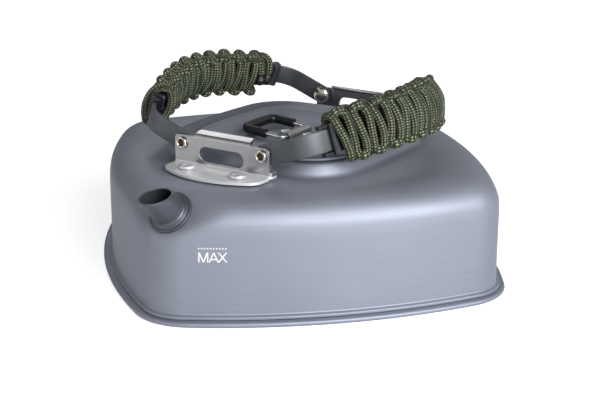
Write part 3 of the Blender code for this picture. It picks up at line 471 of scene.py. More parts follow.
def boss_ring(half, height):
    """The boss's outline, turned an eighth of a turn, at another half size."""
    grow = half - BOSS_TOP_HALF
    corner = BOSS_CORNER_RADIUS + grow * (1.0 if grow > 0 else 0.75)
    radii = square_radius(body_angles + DIAGONAL, half, BOSS_SIDE_RADIUS + grow, corner)
    return level_ring(body_angles, radii, height)


def body_skin(depth):
    """Rows from the foot to the neck, the whole skin moved inward by the depth: foot lip, upright wall,
    quarter-ellipse shoulder, faintly crowned top, then the boss with its rolled crest."""
    foot = PAN_LEDGE + CLEARANCE
    rows = [wall_ring(depth - LIP_OUT, foot)]
    if depth == 0.0:
        lip = ((-LIP_OUT, 0.0003), (-LIP_OUT, 0.0009), (-0.0010, 0.0012), (0.0, 0.0015))
        rows += [wall_ring(inset, foot + rise) for inset, rise in lip]
    rows += [wall_ring(depth, height) for height in (foot + 0.0025, 0.0100, 0.0180, 0.0260, 0.0320, 0.0365)]
    for turn in np.linspace(0.0, math.pi / 2, 9)[0 if depth else 1 :]:
        inset = SHOULDER_RUN - (SHOULDER_RUN - depth) * math.cos(turn)
        rows.append(wall_ring(inset, WALL_TOP + (SHOULDER_RISE - depth) * math.sin(turn)))
    edge = wall_ring(SHOULDER_RUN, TOP_EDGE - depth)
    boss_foot = boss_ring(BOSS_FOOT_HALF, TOP_EDGE + 0.0004 - depth)
    rows += [edge + (boss_foot - edge) * share for share in (0.18, 0.40, 0.62, 0.84)]
    rows += [
        boss_ring(half - depth, height - depth)
        for half, height in (
            (BOSS_FOOT_HALF + 0.0012, TOP_EDGE + 0.0004),
            (BOSS_FOOT_HALF - 0.0010, TOP_EDGE + 0.0006),
            (BOSS_FOOT_HALF - 0.0022, TOP_EDGE + 0.0016),
            (BOSS_TOP_HALF + 0.0026, BOSS_TOP - 0.0034),
            (BOSS_TOP_HALF + 0.0016, BOSS_TOP - 0.0010),
            (BOSS_TOP_HALF + 0.0008, BOSS_TOP),
            (BOSS_TOP_HALF - 0.0014, BOSS_TOP),
        )
    ]
    if depth == 0.0:
        mouth = [(0.0040, BOSS_TOP), (0.0012, BOSS_TOP), (0.0002, BOSS_TOP), (0.0, BOSS_TOP - 0.0010)]
        mouth += [(0.0, NECK_BOTTOM)]
    else:
        mouth = [(0.0022, BOSS_TOP - depth), (depth, NECK_BOTTOM)]
    rows += [boss_ring(MOUTH_HALF + out, height) for out, height in mouth]
    return press_flat(rolled_rows(rows, 2), depth)


body_rows = np.concatenate([body_skin(0.0), body_skin(SHEET)[::2][::-1]])
body_shell = made_piece("kettle_body", skin(body_rows, wrap_rows=True), anodised_grey)
bore_profile = [(BORE_RADIUS, -BORE_REACH), (BORE_RADIUS, BORE_REACH / 2)]
bore = turned_rings(bore_profile, 48, spout_seat, spout_axis, (0, 1, 0))
worked(body_shell, skin(bore @ turn_diagonal.T), "DIFFERENCE")
fitted(body_shell, "vessel", "anodised_grey", "body_shell")

# Base pan: sheet of the same alloy, pressed with a bead that the kettle rests on and a ledge round it.
# The foot of the wall is crimped down onto the ledge.
PAN_POINTS = 400
PAN_UNDER = 0.0010


def pan_ring(half, height):
    """The rim's outline at another half size, shrinking its arcs with it."""
    inset = RIM_HALF - half
    corner = max(RIM_CORNER_RADIUS - inset, 0.30 * half)
    return level_ring(pan_angles, square_radius(pan_angles, half, RIM_SIDE_RADIUS - inset, corner), height)


pan_angles = polar_angles(PAN_POINTS, 0.35)
pan_profile = [(half, PAN_UNDER) for half in (0.0200, 0.0600, 0.0760, 0.0806)]
pan_profile += [(0.0814, 0.0007), (0.0818, 0.0001), (0.0824, 0.0), (0.0838, 0.0), (0.0846, 0.0003)]
pan_profile += [(RIM_HALF, 0.0009), (RIM_HALF, 0.0016), (0.0846, 0.0021), (0.0840, 0.0023), (0.0834, 0.0022)]
pan_profile += [(half, PAN_LEDGE) for half in (0.0828, 0.0800, 0.0600, 0.0200)]
pan_rows = rolled_rows([pan_ring(half, height) for half, height in pan_profile], 1)
base_pan = made_piece("base_pan_sheet", skin(pan_rows), anodised_grey)
fitted(base_pan, "vessel", "anodised_grey", "base_pan")

# Spout: a short turned tube cut aslant at the mouth, pushed through the flat and held by its stepped flange.
# It has a darker copy of the body's finish.
SPOUT_RADIUS = 0.00658
SPOUT_WALL = 0.0010
SPOUT_REACH = 0.0135
SPOUT_TAIL = 0.0030
FLANGE_RADIUS = 0.0090
STEP_RADIUS = 0.0079
MOUTH_SLOPE = math.tan(math.radians(36.0))
MOUTH_ROWS = slice(15, 19)

anodised_dark = anodised_look(
    "anodised_dark", (0.085, 0.092, 0.112), (0.10, 0.108, 0.13), (0.128, 0.137, 0.160), 0.36
)

spout_bore = SPOUT_RADIUS - SPOUT_WALL
spout_profile = [
    (SPOUT_RADIUS - 0.0003, -SPOUT_TAIL),
    (SPOUT_RADIUS, -SPOUT_TAIL + 0.0004),
    (SPOUT_RADIUS, CLEARANCE),
    (SPOUT_RADIUS + 0.0001, CLEARANCE),
    (FLANGE_RADIUS, CLEARANCE),
    (FLANGE_RADIUS, 0.0004),
    (FLANGE_RADIUS, 0.0012),
    (FLANGE_RADIUS - 0.0002, 0.0014),
    (STEP_RADIUS + 0.0002, 0.0014),
    (STEP_RADIUS, 0.0015),
    (STEP_RADIUS - 0.0001, 0.0021),
    (STEP_RADIUS - 0.0005, 0.0023),
    (SPOUT_RADIUS + 0.0005, 0.0024),
    (SPOUT_RADIUS, 0.0030),
    (SPOUT_RADIUS, 0.0060),
    (SPOUT_RADIUS, SPOUT_REACH - 0.0003),
    (SPOUT_RADIUS - 0.0002, SPOUT_REACH),
    (spout_bore + 0.0002, SPOUT_REACH),
    (spout_bore, SPOUT_REACH - 0.0003),
    (spout_bore, 0.0040),
    (spout_bore, -SPOUT_TAIL),
]
spout_rows = turned_rings(spout_profile, 72, spout_seat, spout_axis, (0, 1, 0))
mouth_height = (spout_rows[MOUTH_ROWS] - spout_seat) @ spout_up
spout_rows[MOUTH_ROWS] -= (mouth_height * MOUTH_SLOPE)[..., None] * spout_axis
spout_rows = rolled_rows(spout_rows, 2, closed=True)
spout_tube = made_piece("spout_tube", skin(spout_rows @ turn_diagonal.T, wrap_rows=True), anodised_dark)
fitted(spout_tube, "vessel", "anodised_dark", "spout")

# Fill mark: three plain capitals under a dotted level line, printed on the front wall with a soft pad. The
# white ink is a thin speckled film that follows the curve of the wall.
MARK_LEFT = -0.05448
MARK_CAP = 0.00404
MARK_FOOT = 0.02605
MARK_STROKE = 0.00050
MARK_PROUD = 0.00002
DOTS_LEFT = -0.05399
DOTS_RIGHT = -0.04355
DOTS_HEIGHT = 0.03167
DOT_HALF_WIDTH = 0.00033
DOT_HALF_HEIGHT = 0.00036

white_ink = Finish("white_ink", (0.86, 0.86, 0.87), 0.5, 0.0)
speckle = white_ink.noise(4200.0, 2.0)
ink_cover = white_ink.spread(speckle, 0.35, 0.7)
white_ink.colour(white_ink.blend(ink_cover, (0.80, 0.80, 0.82), (0.90, 0.90, 0.90)))
white_ink.bump(speckle, 0.15, 0.00002)


def on_front_wall(flat, proud):
    """Points (along, up) wrapped onto the wall's side arc: the arc length over its radius is the angle."""
    turn = flat[:, 0] / wall_side
    out = wall_side + proud
    return np.stack([out * np.sin(turn), wall_side - wall_half - out * np.cos(turn), flat[:, 1]], axis=-1)


def printed(outline):
    """A flat convex outline as a thin film of ink that lies on the wall and follows its curve."""
    outline = np.asarray(outline, float)
    return skin(np.stack([on_front_wall(outline, -MARK_PROUD), on_front_wall(outline, MARK_PROUD)]))


def stroke(start, end):
    """A letter's straight stroke of even width with both ends cut level."""
    start, end = np.asarray(start, float), np.asarray(end, float)
    slope = end - start
    if abs(slope[1]) < 1e-9:
        down = np.array((0, MARK_STROKE / 2))
        return printed([start - down, end - down, end + down, start + down])
    half = MARK_STROKE / 2 / max(abs(slope[1]) / np.linalg.norm(slope), 0.5)
    return printed([start - (half, 0), start + (half, 0), end + (half, 0), end - (half, 0)])


def letter(left, strokes):
    """Strokes given in units of the capital height, from the letter's left foot."""
    origin = np.array((left, MARK_FOOT))
    return [stroke(origin + MARK_CAP * np.array(a), origin + MARK_CAP * np.array(b)) for a, b in strokes]


capitals = {
    0.0002: (((0.08, 0), (0.08, 1)), ((0.12, 1), (0.50, 0)), ((0.50, 0), (0.88, 1)), ((0.92, 0), (0.92, 1))),
    0.00455: (((0.0, 0), (0.42, 1)), ((0.42, 1), (0.84, 0)), ((0.17, 0.30), (0.67, 0.30))),
    0.00805: (((0.0, 0), (0.78, 1)), ((0.0, 1), (0.78, 0))),
}
mark = [film for start, strokes in capitals.items() for film in letter(MARK_LEFT + start, strokes)]
dot_turn = np.linspace(0, 2 * math.pi, 16, endpoint=False)
dot = np.stack([DOT_HALF_WIDTH * np.cos(dot_turn), DOT_HALF_HEIGHT * np.sin(dot_turn)], axis=1)
mark += [printed(dot + (along, DOTS_HEIGHT)) for along in np.linspace(DOTS_LEFT, DOTS_RIGHT, 10)]
fill_mark = made_piece("fill_mark", joined(mark), white_ink.material)
fitted(fill_mark, "vessel", "anodised_grey")

# Brackets, front and rear: stainless strip folded into a foot, an upright plate with two ears and a
# turned-in flange, pierced by a slot, and riveted to the kettle's top. Its edges are tumbled smooth. The
# foot is made rougher, and paler and less metallic than the plate: a painted highlight.
PLATE_OUT = 0.0551
PLATE_SHEET = 0.0012
PLATE_IN = PLATE_OUT - PLATE_SHEET
PLATE_HALF = 0.0235
EAR_TOP = 0.0643
EAR_CORNER = 0.0020
FLANGE_HALF = 0.0136
BEND_HEIGHT = 0.0636
FLANGE_BEND = 0.0008
FLANGE_TURN = math.radians(73.0)
FLANGE_LENGTH = 0.0032
FOOT_BEND = 0.0010
FOOT_UNDER = 0.0513
FOOT_TOP = FOOT_UNDER + PLATE_SHEET
FOOT_REACH = 0.0708
FOOT_EDGE_RADIUS = 0.0400
FOOT_EDGE_START = 0.0020
FOOT_NECK = 0.0615
NOTCH_BACK = 0.0031
NOTCH_RADIUS = 0.0018
NOTCH_TOP_RADIUS = 0.0010
HAIR = 0.00002
SLOT_HALF = 0.0110
SLOT_RADIUS = 0.00325
SLOT_HEIGHT = 0.0574
FOOT_RIVET_OUT = 0.0612
FOOT_RIVET_ACROSS = 0.0127
PIVOT_ACROSS = 0.01978
PIVOT_HEIGHT = 0.0609
PIVOT_HOLE = 0.0019
EAR_FOLD_ACROSS = 0.0228
EAR_FOLD_OUTSIDE = 0.00158
EAR_FOLD_INSIDE = 0.00042
EAR_TAB_IN = 0.0510
EAR_TAB_LOW = 0.0519
EAR_TAB_HIGH = 0.0545
STRIP_HALF = 0.0255
PLAN_SPAN = (0.040, 0.080)
ELEVATION_SPAN = (0.045, 0.080)
OVERSHOOT = 0.004
EDGE_BREAK = 0.00014
HIGHLIGHT_PAINT_TOP = FOOT_TOP + 0.0001
HIGHLIGHT_PAINT_FADE = 0.0007

bright = Finish("stainless", (0.43, 0.43, 0.44), 0.28, 1.0)
roll_grain = bright.noise(1.0, 3.0, bright.stretched(300.0, 300.0, 9000.0), 0.6)
handling = bright.noise(160.0, 4.0)
height_of = bright.nodes.new("ShaderNodeSeparateXYZ")
bright.links.new(bright.place, height_of.inputs["Vector"])
# On the foot, below its top face, the colour is painted pale and less metallic as a painted highlight, and
# the steel is rougher.
foot_painted_highlight = bright.spread(height_of.outputs["Z"], HIGHLIGHT_PAINT_TOP, HIGHLIGHT_PAINT_TOP + HIGHLIGHT_PAINT_FADE, 1.0, 0.0)
steel = bright.blend(bright.swing(handling, 0.0, 1.0), (0.41, 0.41, 0.42), (0.45, 0.45, 0.46))
bright.colour(bright.blend(foot_painted_highlight, steel, (0.76, 0.77, 0.78)))
handled_rough = bright.spread(handling, 0.35, 0.65, -0.01, 0.015)
plate_rough = bright.sum(bright.swing(roll_grain, 0.27, 0.32), handled_rough)
bright.rough(bright.sum(plate_rough, bright.times(foot_painted_highlight, 0.10)))
bright.links.new(bright.sum(bright.times(foot_painted_highlight, -0.55), 1.0), bright.shader.inputs["Metallic"])
bright.bump(roll_grain, 0.02, 0.00001)


def arc(centre, radius, start, end, steps):
    """Points on a circle between two angles, ends included."""
    turn = np.linspace(start, end, steps + 1)
    return [(centre[0] + radius * a, centre[1] + radius * b) for a, b in zip(np.cos(turn), np.sin(turn))]


def pushed(outline, low, high, axis):
    """A closed outline moved along one axis: it gives the other two coordinates in x, y, z order."""
    outline = np.asarray(outline, float)
    return skin(np.stack([np.insert(outline, axis, level, axis=1) for level in (low, high)]))


foot_bend = (PLATE_OUT + FOOT_BEND, FOOT_TOP + FOOT_BEND)
flange_bend = (PLATE_IN - FLANGE_BEND, BEND_HEIGHT)
outer_top = arc(flange_bend, FLANGE_BEND + PLATE_SHEET, 0.0, FLANGE_TURN, 12)
inner_top = arc(flange_bend, FLANGE_BEND, FLANGE_TURN, 0.0, 8)
strip = [(FOOT_REACH + OVERSHOOT, FOOT_UNDER), (FOOT_REACH + OVERSHOOT, FOOT_TOP)]
strip += arc(foot_bend, FOOT_BEND, -math.pi / 2, -math.pi, 8) + outer_top
for x, z in (outer_top[-1], inner_top[0]):
    strip.append((x - FLANGE_LENGTH * math.sin(FLANGE_TURN), z + FLANGE_LENGTH * math.cos(FLANGE_TURN)))
strip += inner_top + arc(foot_bend, FOOT_BEND + PLATE_SHEET, -math.pi, -math.pi / 2, 12)

edge_turn = math.asin((PLATE_HALF - FOOT_EDGE_START) / FOOT_EDGE_RADIUS)
plan = arc((FOOT_REACH - FOOT_EDGE_RADIUS, 0.0), FOOT_EDGE_RADIUS, -edge_turn, edge_turn, 32)
plan += [(FOOT_NECK, PLATE_HALF), (PLATE_IN + HAIR, PLATE_HALF), (PLATE_IN + HAIR, FLANGE_HALF)]
notch_middle = (PLATE_OUT - NOTCH_BACK, FLANGE_HALF - NOTCH_RADIUS)
plan += arc(notch_middle, NOTCH_RADIUS, math.pi / 2, math.pi, 8)
plan += [(x, -y) for x, y in plan[:32:-1]]

elevation = [(PLATE_HALF, 0.0500)]
elevation += arc((PLATE_HALF - EAR_CORNER, EAR_TOP - EAR_CORNER), EAR_CORNER, 0.0, math.pi / 2, 10)
notch_top = (FLANGE_HALF + NOTCH_TOP_RADIUS, EAR_TOP + NOTCH_TOP_RADIUS)
elevation += arc(notch_top, NOTCH_TOP_RADIUS, -math.pi / 2, -math.pi, 6)
elevation += [(FLANGE_HALF, 0.0700)]
elevation += [(-y, z) for y, z in elevation[::-1]]

slot = arc((SLOT_HALF - SLOT_RADIUS, SLOT_HEIGHT), SLOT_RADIUS, -math.pi / 2, math.pi / 2, 16)
slot += arc((-SLOT_HALF + SLOT_RADIUS, SLOT_HEIGHT), SLOT_RADIUS, math.pi / 2, 3 * math.pi / 2, 16)
pierced = [pushed(slot, PLATE_IN - OVERSHOOT, PLATE_OUT + OVERSHOOT, 0)]
ear_tabs = []
for side in (-1, 1):
    pivot = (0.0, side * PIVOT_ACROSS, PIVOT_HEIGHT)
    hole = [(PIVOT_HOLE, PLATE_IN - OVERSHOOT), (PIVOT_HOLE, PLATE_OUT + OVERSHOOT)]
    pierced.append(skin(turned_rings(hole, 24, pivot, (1, 0, 0), (0, 1, 0))))
    fold = (PLATE_IN - 0.0004, EAR_FOLD_ACROSS)
    outline = arc(fold, EAR_FOLD_OUTSIDE, 0.0, math.pi / 2, 8)
    outline += [(EAR_TAB_IN, EAR_FOLD_ACROSS + reach) for reach in (EAR_FOLD_OUTSIDE, EAR_FOLD_INSIDE)]
    outline += arc(fold, EAR_FOLD_INSIDE, math.pi / 2, 0.0, 4)
    ear_tabs.append(pushed([(x, side * y) for x, y in outline], EAR_TAB_LOW, EAR_TAB_HIGH, 2))


def edges_broken(piece, width):
    """Rounds the piece's sharp edges with a narrow bevel, as tumbling leaves them."""
    broken = piece.modifiers.new("edge_break", "BEVEL")
    broken.width = width
    broken.segments = 2
    broken.limit_method = "ANGLE"
    broken.angle_limit = math.radians(50.0)
    broken.use_clamp_overlap = False
    broken.harden_normals = True


def bent_bracket(end, turn):
    """The folded strip kept inside its plan and its elevation, given its slot, holes and ear tabs, and turned
    round the kettle's upright centre line to its corner."""
    bracket = made_piece(end + "_bracket_plate", pushed(strip, -STRIP_HALF, STRIP_HALF, 1), bright.material)
    worked(bracket, pushed(plan, *PLAN_SPAN, 2), "INTERSECT")
    worked(bracket, pushed(elevation, *ELEVATION_SPAN, 0), "INTERSECT")
    worked(bracket, joined(pierced), "DIFFERENCE")
    worked(bracket, joined(ear_tabs), "UNION")
    edges_broken(bracket, EDGE_BREAK)
    bracket.data.transform(Matrix.Rotation(turn, 4, "Z"))
    return fitted(bracket, "vessel", "stainless", end + "_bracket")


bent_bracket("front", DIAGONAL + math.pi)
bent_bracket("rear", DIAGONAL)

# Foot rivets: annealed stainless steel with wide low domes, two through the foot of each bracket. The tails
# are set inside the kettle's top, and the setting tool leaves the domes faintly dented.
rivet_metal = Finish("rivet_metal", (0.74, 0.75, 0.77), 0.36, 0.70)
rivet_metal.grain(700.0, 3.0, 0.24, 0.42, 0.35, 0.00012)

rivet_places = (("front", -1, "a", -1), ("front", -1, "b", 1), ("rear", 1, "a", -1), ("rear", 1, "b", 1))


def turned_piece(name, profile, sides, foot, axis, side, finish, sharp):
    """A rivet: its profile of (radius, distance along the axis) rounded off and turned about the axis."""
    rows = rolled_rows(turned_rings(profile, sides, foot, axis, side), 2)
    return made_piece(name, skin(rows @ turn_diagonal.T), finish, sharp)


low_dome = [(0.0025, 0.0482), (0.0031, 0.0491), (0.0020, 0.0492), (0.0020, 0.0527), (0.0034, 0.0528)]
low_dome += [(0.0036, 0.0529), (0.0036, 0.0535), (0.0029, 0.0543), (0.0012, 0.0547)]
for end, out, label, side in rivet_places:
    foot = (out * FOOT_RIVET_OUT, side * FOOT_RIVET_ACROSS, 0.0)
    name = f"{end}_foot_dome_{label}"
    rivet = turned_piece(name, low_dome, 40, foot, (0, 0, 1), (1, 0, 0), rivet_metal.material, 50.0)
    fitted(rivet, "vessel", "stainless", f"{end}_foot_rivet_{label}")

# Pivot rivets: hollow steel eyelets with a bright rolled lip outside the bracket and a large dome inside the
# handle's arm, on which the arm turns. Old flux has browned the inside of the hollow.
STRAP_THICK = 0.0013
HEAD_FACE = PLATE_IN - CLEARANCE - STRAP_THICK - CLEARANCE
EYELET_SIDES = 48
BROWNED_ROWS = 15

eyelet_steel = Finish("eyelet_steel", (0.60, 0.58, 0.55), 0.22, 1.0)
eyelet_steel.grain(900.0, 3.0, 0.14, 0.30, 0.2, 0.00006)

flux_brown = Finish("eyelet_flux", (0.13, 0.075, 0.030), 0.45, 0.5)
flux = flux_brown.noise(1500.0, 3.0)
crusted = flux_brown.spread(flux, 0.35, 0.65)
flux_brown.colour(flux_brown.blend(crusted, (0.055, 0.035, 0.018), (0.26, 0.15, 0.05)))
flux_brown.bump(flux, 0.5, 0.0002)

dome = [(0.0004, -0.0022), (0.0016, -0.0021), (0.0030, -0.0015), (0.0039, -0.0006), (0.0040, 0.0)]
dome += [(0.0038, 0.0), (0.00155, 0.0)]
rolled_lip = [(0.00170, -0.0004), (0.00175, 0.0), (0.0025, 0.0), (0.0027, 0.0002), (0.0026, 0.0007)]
rolled_lip += [(0.0021, 0.0009), (0.0017, 0.0008), (0.00150, 0.0004), (0.00140, -0.0002)]
rolled_lip += [(0.00138, -0.0008), (0.0011, -0.0012), (0.0004, -0.0010)]
pivot_profile = [(radius, HEAD_FACE + along) for radius, along in dome]
pivot_profile += [(radius, PLATE_OUT + CLEARANCE + along) for radius, along in rolled_lip]


def far_end_finished(piece, finish, quads):
    """A second finish on a capped tube's last quads and its far cap, which is the last face of all; the near
    cap is the face before that and keeps the first finish."""
    piece.data.materials.append(finish)
    faces = np.arange(len(piece.data.polygons))
    near_cap = len(faces) - 2
    far = (faces >= near_cap - quads) & (faces != near_cap)
    piece.data.polygons.foreach_set("material_index", far.astype(np.int32))


for end, out, label, side in rivet_places:
    pivot = (0.0, side * PIVOT_ACROSS, PIVOT_HEIGHT)
    name = f"{end}_pivot_eyelet_{label}"
    metal = eyelet_steel.material
    rivet = turned_piece(name, pivot_profile, EYELET_SIDES, pivot, (out, 0, 0), (0, 1, 0), metal, 60.0)
    far_end_finished(rivet, flux_brown.material, BROWNED_ROWS * EYELET_SIDES)
    fitted(rivet, "vessel", "eyelet_steel", f"{end}_pivot_rivet_{label}")

# Handle arms: spring steel strip bent into a hoop and given a dark satin finish, one on each side, turning on
# the pivot rivets. Each hoop runs straight, bends, runs straight again and arches over the grip.
STRAP_WIDTH = 0.0088
STRAP_CORNER = 0.00035
STRAP_PLANE = PLATE_IN - CLEARANCE - STRAP_THICK / 2
END_STEPS = 14
MIDDLE_STEPS = 219
HOOP_LEG = 0.01384
BEND_RADIUS = 0.0113
BEND_TURN = math.radians(68.07)
HOOP_RUN = 0.02616
run_drop = math.cos(BEND_TURN)
crown_radius = (STRAP_PLANE - BEND_RADIUS * (1 - run_drop) - HOOP_RUN * math.sin(BEND_TURN)) / run_drop
bend_end = HOOP_LEG + BEND_RADIUS * BEND_TURN
run_end = bend_end + HOOP_RUN
half_length = run_end + crown_radius * (math.pi / 2 - BEND_TURN)
hoop_length = 2 * half_length
handles = (
    ("left", 1, math.radians(20.7), DIAGONAL, "left_handle"),
    ("right", -1, math.radians(17.8), DIAGONAL + math.pi, "right_handle"),
)


def hoop(stations):
    """Position and outward normal in the plane of the hoop at each arc length from the first pivot: the leg
    is straight, the bend and the crown are circle arcs, and the second half mirrors the first."""
    stations = np.asarray(stations, float)
    near = np.where(stations > half_length, hoop_length - stations, stations)
    leg = np.minimum(near, HOOP_LEG)
    turn = np.clip((near - HOOP_LEG) / BEND_RADIUS, 0.0, BEND_TURN)
    run = np.clip(near - bend_end, 0.0, HOOP_RUN)
    crown = np.clip((near - run_end) / crown_radius, 0.0, None)
    x = -STRAP_PLANE + BEND_RADIUS * (1 - np.cos(turn)) + run * math.sin(BEND_TURN)
    x += crown_radius * (run_drop - np.cos(BEND_TURN + crown))
    y = leg + BEND_RADIUS * np.sin(turn) + run * run_drop
    y += crown_radius * (np.sin(BEND_TURN + crown) - math.sin(BEND_TURN))
    heading = turn + crown
    mirror = np.where(stations > half_length, -1.0, 1.0)
    flat = np.zeros_like(x)
    middle = np.stack([x * mirror, y, flat], axis=-1)
    return middle, np.stack([-np.cos(heading) * mirror, np.sin(heading), flat], axis=-1)


def along_hoop(stations, outward, upward):
    """Points at an arc length, a distance out along the hoop's normal and a distance across the strap."""
    middle, normal = hoop(stations)
    upright = np.array([0.0, 0.0, 1.0])
    return middle + np.asarray(outward)[..., None] * normal + np.asarray(upward)[..., None] * upright


def sections_along(stations, outward, upward):
    """Rings of points, one for each station; outward and upward hold a row for each ring."""
    return along_hoop(np.tile(stations[:, None], (1, outward.shape[1])), outward, upward)


def tipped(points, angle):
    """Points turned about the x axis, y towards z."""
    cosine, sine = math.cos(angle), math.sin(angle)
    return np.asarray(points, float) @ np.array([[1.0, 0.0, 0.0], [0.0, cosine, sine], [0.0, -sine, cosine]])


def as_hung(points, side, rest, turn):
    """Points of the hoop's own plane tipped about the pivot line by the rest angle, swung round the kettle's
    upright centre line and set at the pivots."""
    cosine, sine = math.cos(turn), math.sin(turn)
    swung = tipped(points, rest) @ np.array([[cosine, sine, 0.0], [-sine, cosine, 0.0], [0.0, 0.0, 1.0]])
    return swung + turn_diagonal @ np.array([0.0, side * PIVOT_ACROSS, PIVOT_HEIGHT])


def round_rectangle(half_out, half_up, corner, steps):
    """Outline of a rounded rectangle as (outward, upward) pairs."""
    outline = []
    for sign_x, sign_y, start in ((1, 1, 0), (-1, 1, 1), (-1, -1, 2), (1, -1, 3)):
        centre = (sign_x * (half_out - corner), sign_y * (half_up - corner))
        outline += arc(centre, corner, start * math.pi / 2, (start + 1) * math.pi / 2, steps)
    return np.array(outline)


strap_satin = Finish("strap_steel", (0.110, 0.116, 0.130), 0.50, 0.60)
satin = strap_satin.grain(2200.0, 2.0, 0.46, 0.60, 0.2, 0.00004)
rubbed = strap_satin.sum(strap_satin.noise(90.0, 4.0), strap_satin.times(satin, 0.3))
strap_satin.colour(
    strap_satin.blend(strap_satin.spread(rubbed, 0.5, 0.8), (0.092, 0.098, 0.110), (0.130, 0.137, 0.153))
)

for name, side, rest, turn, body in handles:
    end_turns = np.linspace(math.radians(6), math.pi / 2, END_STEPS)
    past = STRAP_WIDTH / 2 * np.cos(end_turns)
    middle_stations = np.linspace(0.0, hoop_length, MIDDLE_STEPS + 2)[1:-1]
    stations = np.concatenate([np.zeros(END_STEPS), middle_stations, np.full(END_STEPS, hoop_length)])
    beyond = np.concatenate([past, np.zeros(MIDDLE_STEPS), past[::-1]])
    share = np.concatenate([np.sin(end_turns), np.ones(MIDDLE_STEPS), np.sin(end_turns)[::-1]])
    section = round_rectangle(STRAP_THICK / 2, STRAP_WIDTH / 2, STRAP_CORNER, 3)
    outward = np.tile(section[:, 0], (len(stations), 1))
    rows = sections_along(stations, outward, section[:, 1] * share[:, None])
    rows[..., 1] -= beyond[:, None]
    strap = made_piece(name + "_arm_band", skin(as_hung(rows, side, rest, turn)), strap_satin.material)
    fitted(strap, body, "strap_steel", name + "_arm_strap")

# Grip sleeves: black nylon mouldings that slide over the crown of each arm, with a raised frame at each end
# and two clips at the front one. A small blackened screw beside them pinches the sleeve to the steel.
CORE_WIDTH = 0.0112
CORE_THICK = 0.0040
CORE_CORNER = 0.0010
CAVITY_WIDTH = 0.0094
CAVITY_THICK = 0.0021
CAVITY_CORNER = 0.0004
CORE_FRONT = 0.0300
CORE_REAR = 0.0260
SCREW_FRONT = 0.0318
FRAME_LENGTH = 0.0018
FRAME_PROUD = 0.0009
FRAME_ROUND = 0.00015
FRAME_ROOT = 0.0002
REAR_PROUD = 0.0002
PLAIN_START = 0.0020
CLIP_LENGTH = 0.0042
CLIP_ACROSS = 0.0055
CLIP_HALF_OUT = 0.0017
CLIP_HALF_UP = 0.0008
CLIP_CORNER = 0.0004

black_nylon = Finish("black_plastic", (0.008, 0.008, 0.010), 0.38, 0.0)
black_nylon.grain(1800.0, 2.0, 0.24, 0.36, 0.25, 0.00005)
# Convex edges are painted lighter: partly wear on the nylon, partly a painted highlight on the rims of the
# end frames.
worn_and_highlit_corners = edge_wear(black_nylon, 0.55, 0.66)
black_nylon.colour(black_nylon.blend(worn_and_highlit_corners, (0.007, 0.007, 0.009), (0.040, 0.042, 0.048)))

black_steel = Finish("black_steel", (0.035, 0.036, 0.040), 0.22, 1.0)
black_steel.grain(1500.0, 3.0, 0.16, 0.32, 0.2, 0.00004)

pan_head = [(0.0006, 0.00095), (0.0006, 0.0023), (0.0017, 0.0023), (0.0019, 0.0024), (0.0018, 0.0030)]
pan_head += [(0.0012, 0.0035), (0.0006, 0.0036), (0.0005, 0.0030), (0.0001, 0.0029)]

for name, side, rest, turn, body in handles:
    front_first = name == "left"
    first = CORE_FRONT if front_first else CORE_REAR
    last = hoop_length - (CORE_REAR if front_first else CORE_FRONT)
    ends = np.array([0.0, FRAME_ROUND, FRAME_LENGTH, FRAME_LENGTH + FRAME_ROOT])
    plain = np.linspace(first + PLAIN_START, last - PLAIN_START, 90)
    stations = np.concatenate([first + ends, plain, last - ends[::-1]])
    proud = np.zeros(len(stations))
    at_first, at_last = (FRAME_PROUD, REAR_PROUD) if front_first else (REAR_PROUD, FRAME_PROUD)
    proud[[0, 1, 2]] = at_first - FRAME_ROUND, at_first, at_first
    proud[[-1, -2, -3]] = at_last - FRAME_ROUND, at_last, at_last
    walls = []
    for width, thick, corner, grow in (
        (CORE_WIDTH, CORE_THICK, CORE_CORNER, proud),
        (CAVITY_WIDTH, CAVITY_THICK, CAVITY_CORNER, np.zeros(len(stations))),
    ):
        section = round_rectangle(thick / 2, width / 2, corner, 4)
        grown = section[None] + np.sign(section)[None] * grow[:, None, None]
        walls.append(sections_along(stations, grown[..., 0], grown[..., 1]))
    wall_rows = np.concatenate([walls[0], walls[1][::-1]])
    shapes = [skin(as_hung(wall_rows, side, rest, turn), wrap_rows=True)]
    front_end, toward = (first, -1.0) if front_first else (last, 1.0)
    clip_stations = front_end + toward * np.array([-0.0010, 0.0, 0.0020, CLIP_LENGTH - 0.0003, CLIP_LENGTH])
    clip_size = np.array([1.0, 1.0, 1.0, 1.0, 0.7])[:, None]
    section = round_rectangle(CLIP_HALF_OUT, CLIP_HALF_UP, CLIP_CORNER, 4)
    for level in (-CLIP_ACROSS, CLIP_ACROSS):
        clip = sections_along(clip_stations, clip_size * section[:, 0], level + clip_size * section[:, 1])
        shapes.append(skin(as_hung(clip, side, rest, turn)))
    sleeve = made_piece(name + "_grip_sleeve", joined(shapes), black_nylon.material)
    fitted(sleeve, body, "black_plastic", name + "_grip_core")

    middle, normal = hoop([SCREW_FRONT if front_first else hoop_length - SCREW_FRONT])
    rows = rolled_rows(turned_rings(pan_head, 28, middle[0], -normal[0], (0, 0, 1)), 1)
    screw = made_piece(name + "_sleeve_screw", skin(as_hung(rows, side, rest, turn)), black_steel.material)
    fitted(screw, body, "stainless", name + "_core_screw")

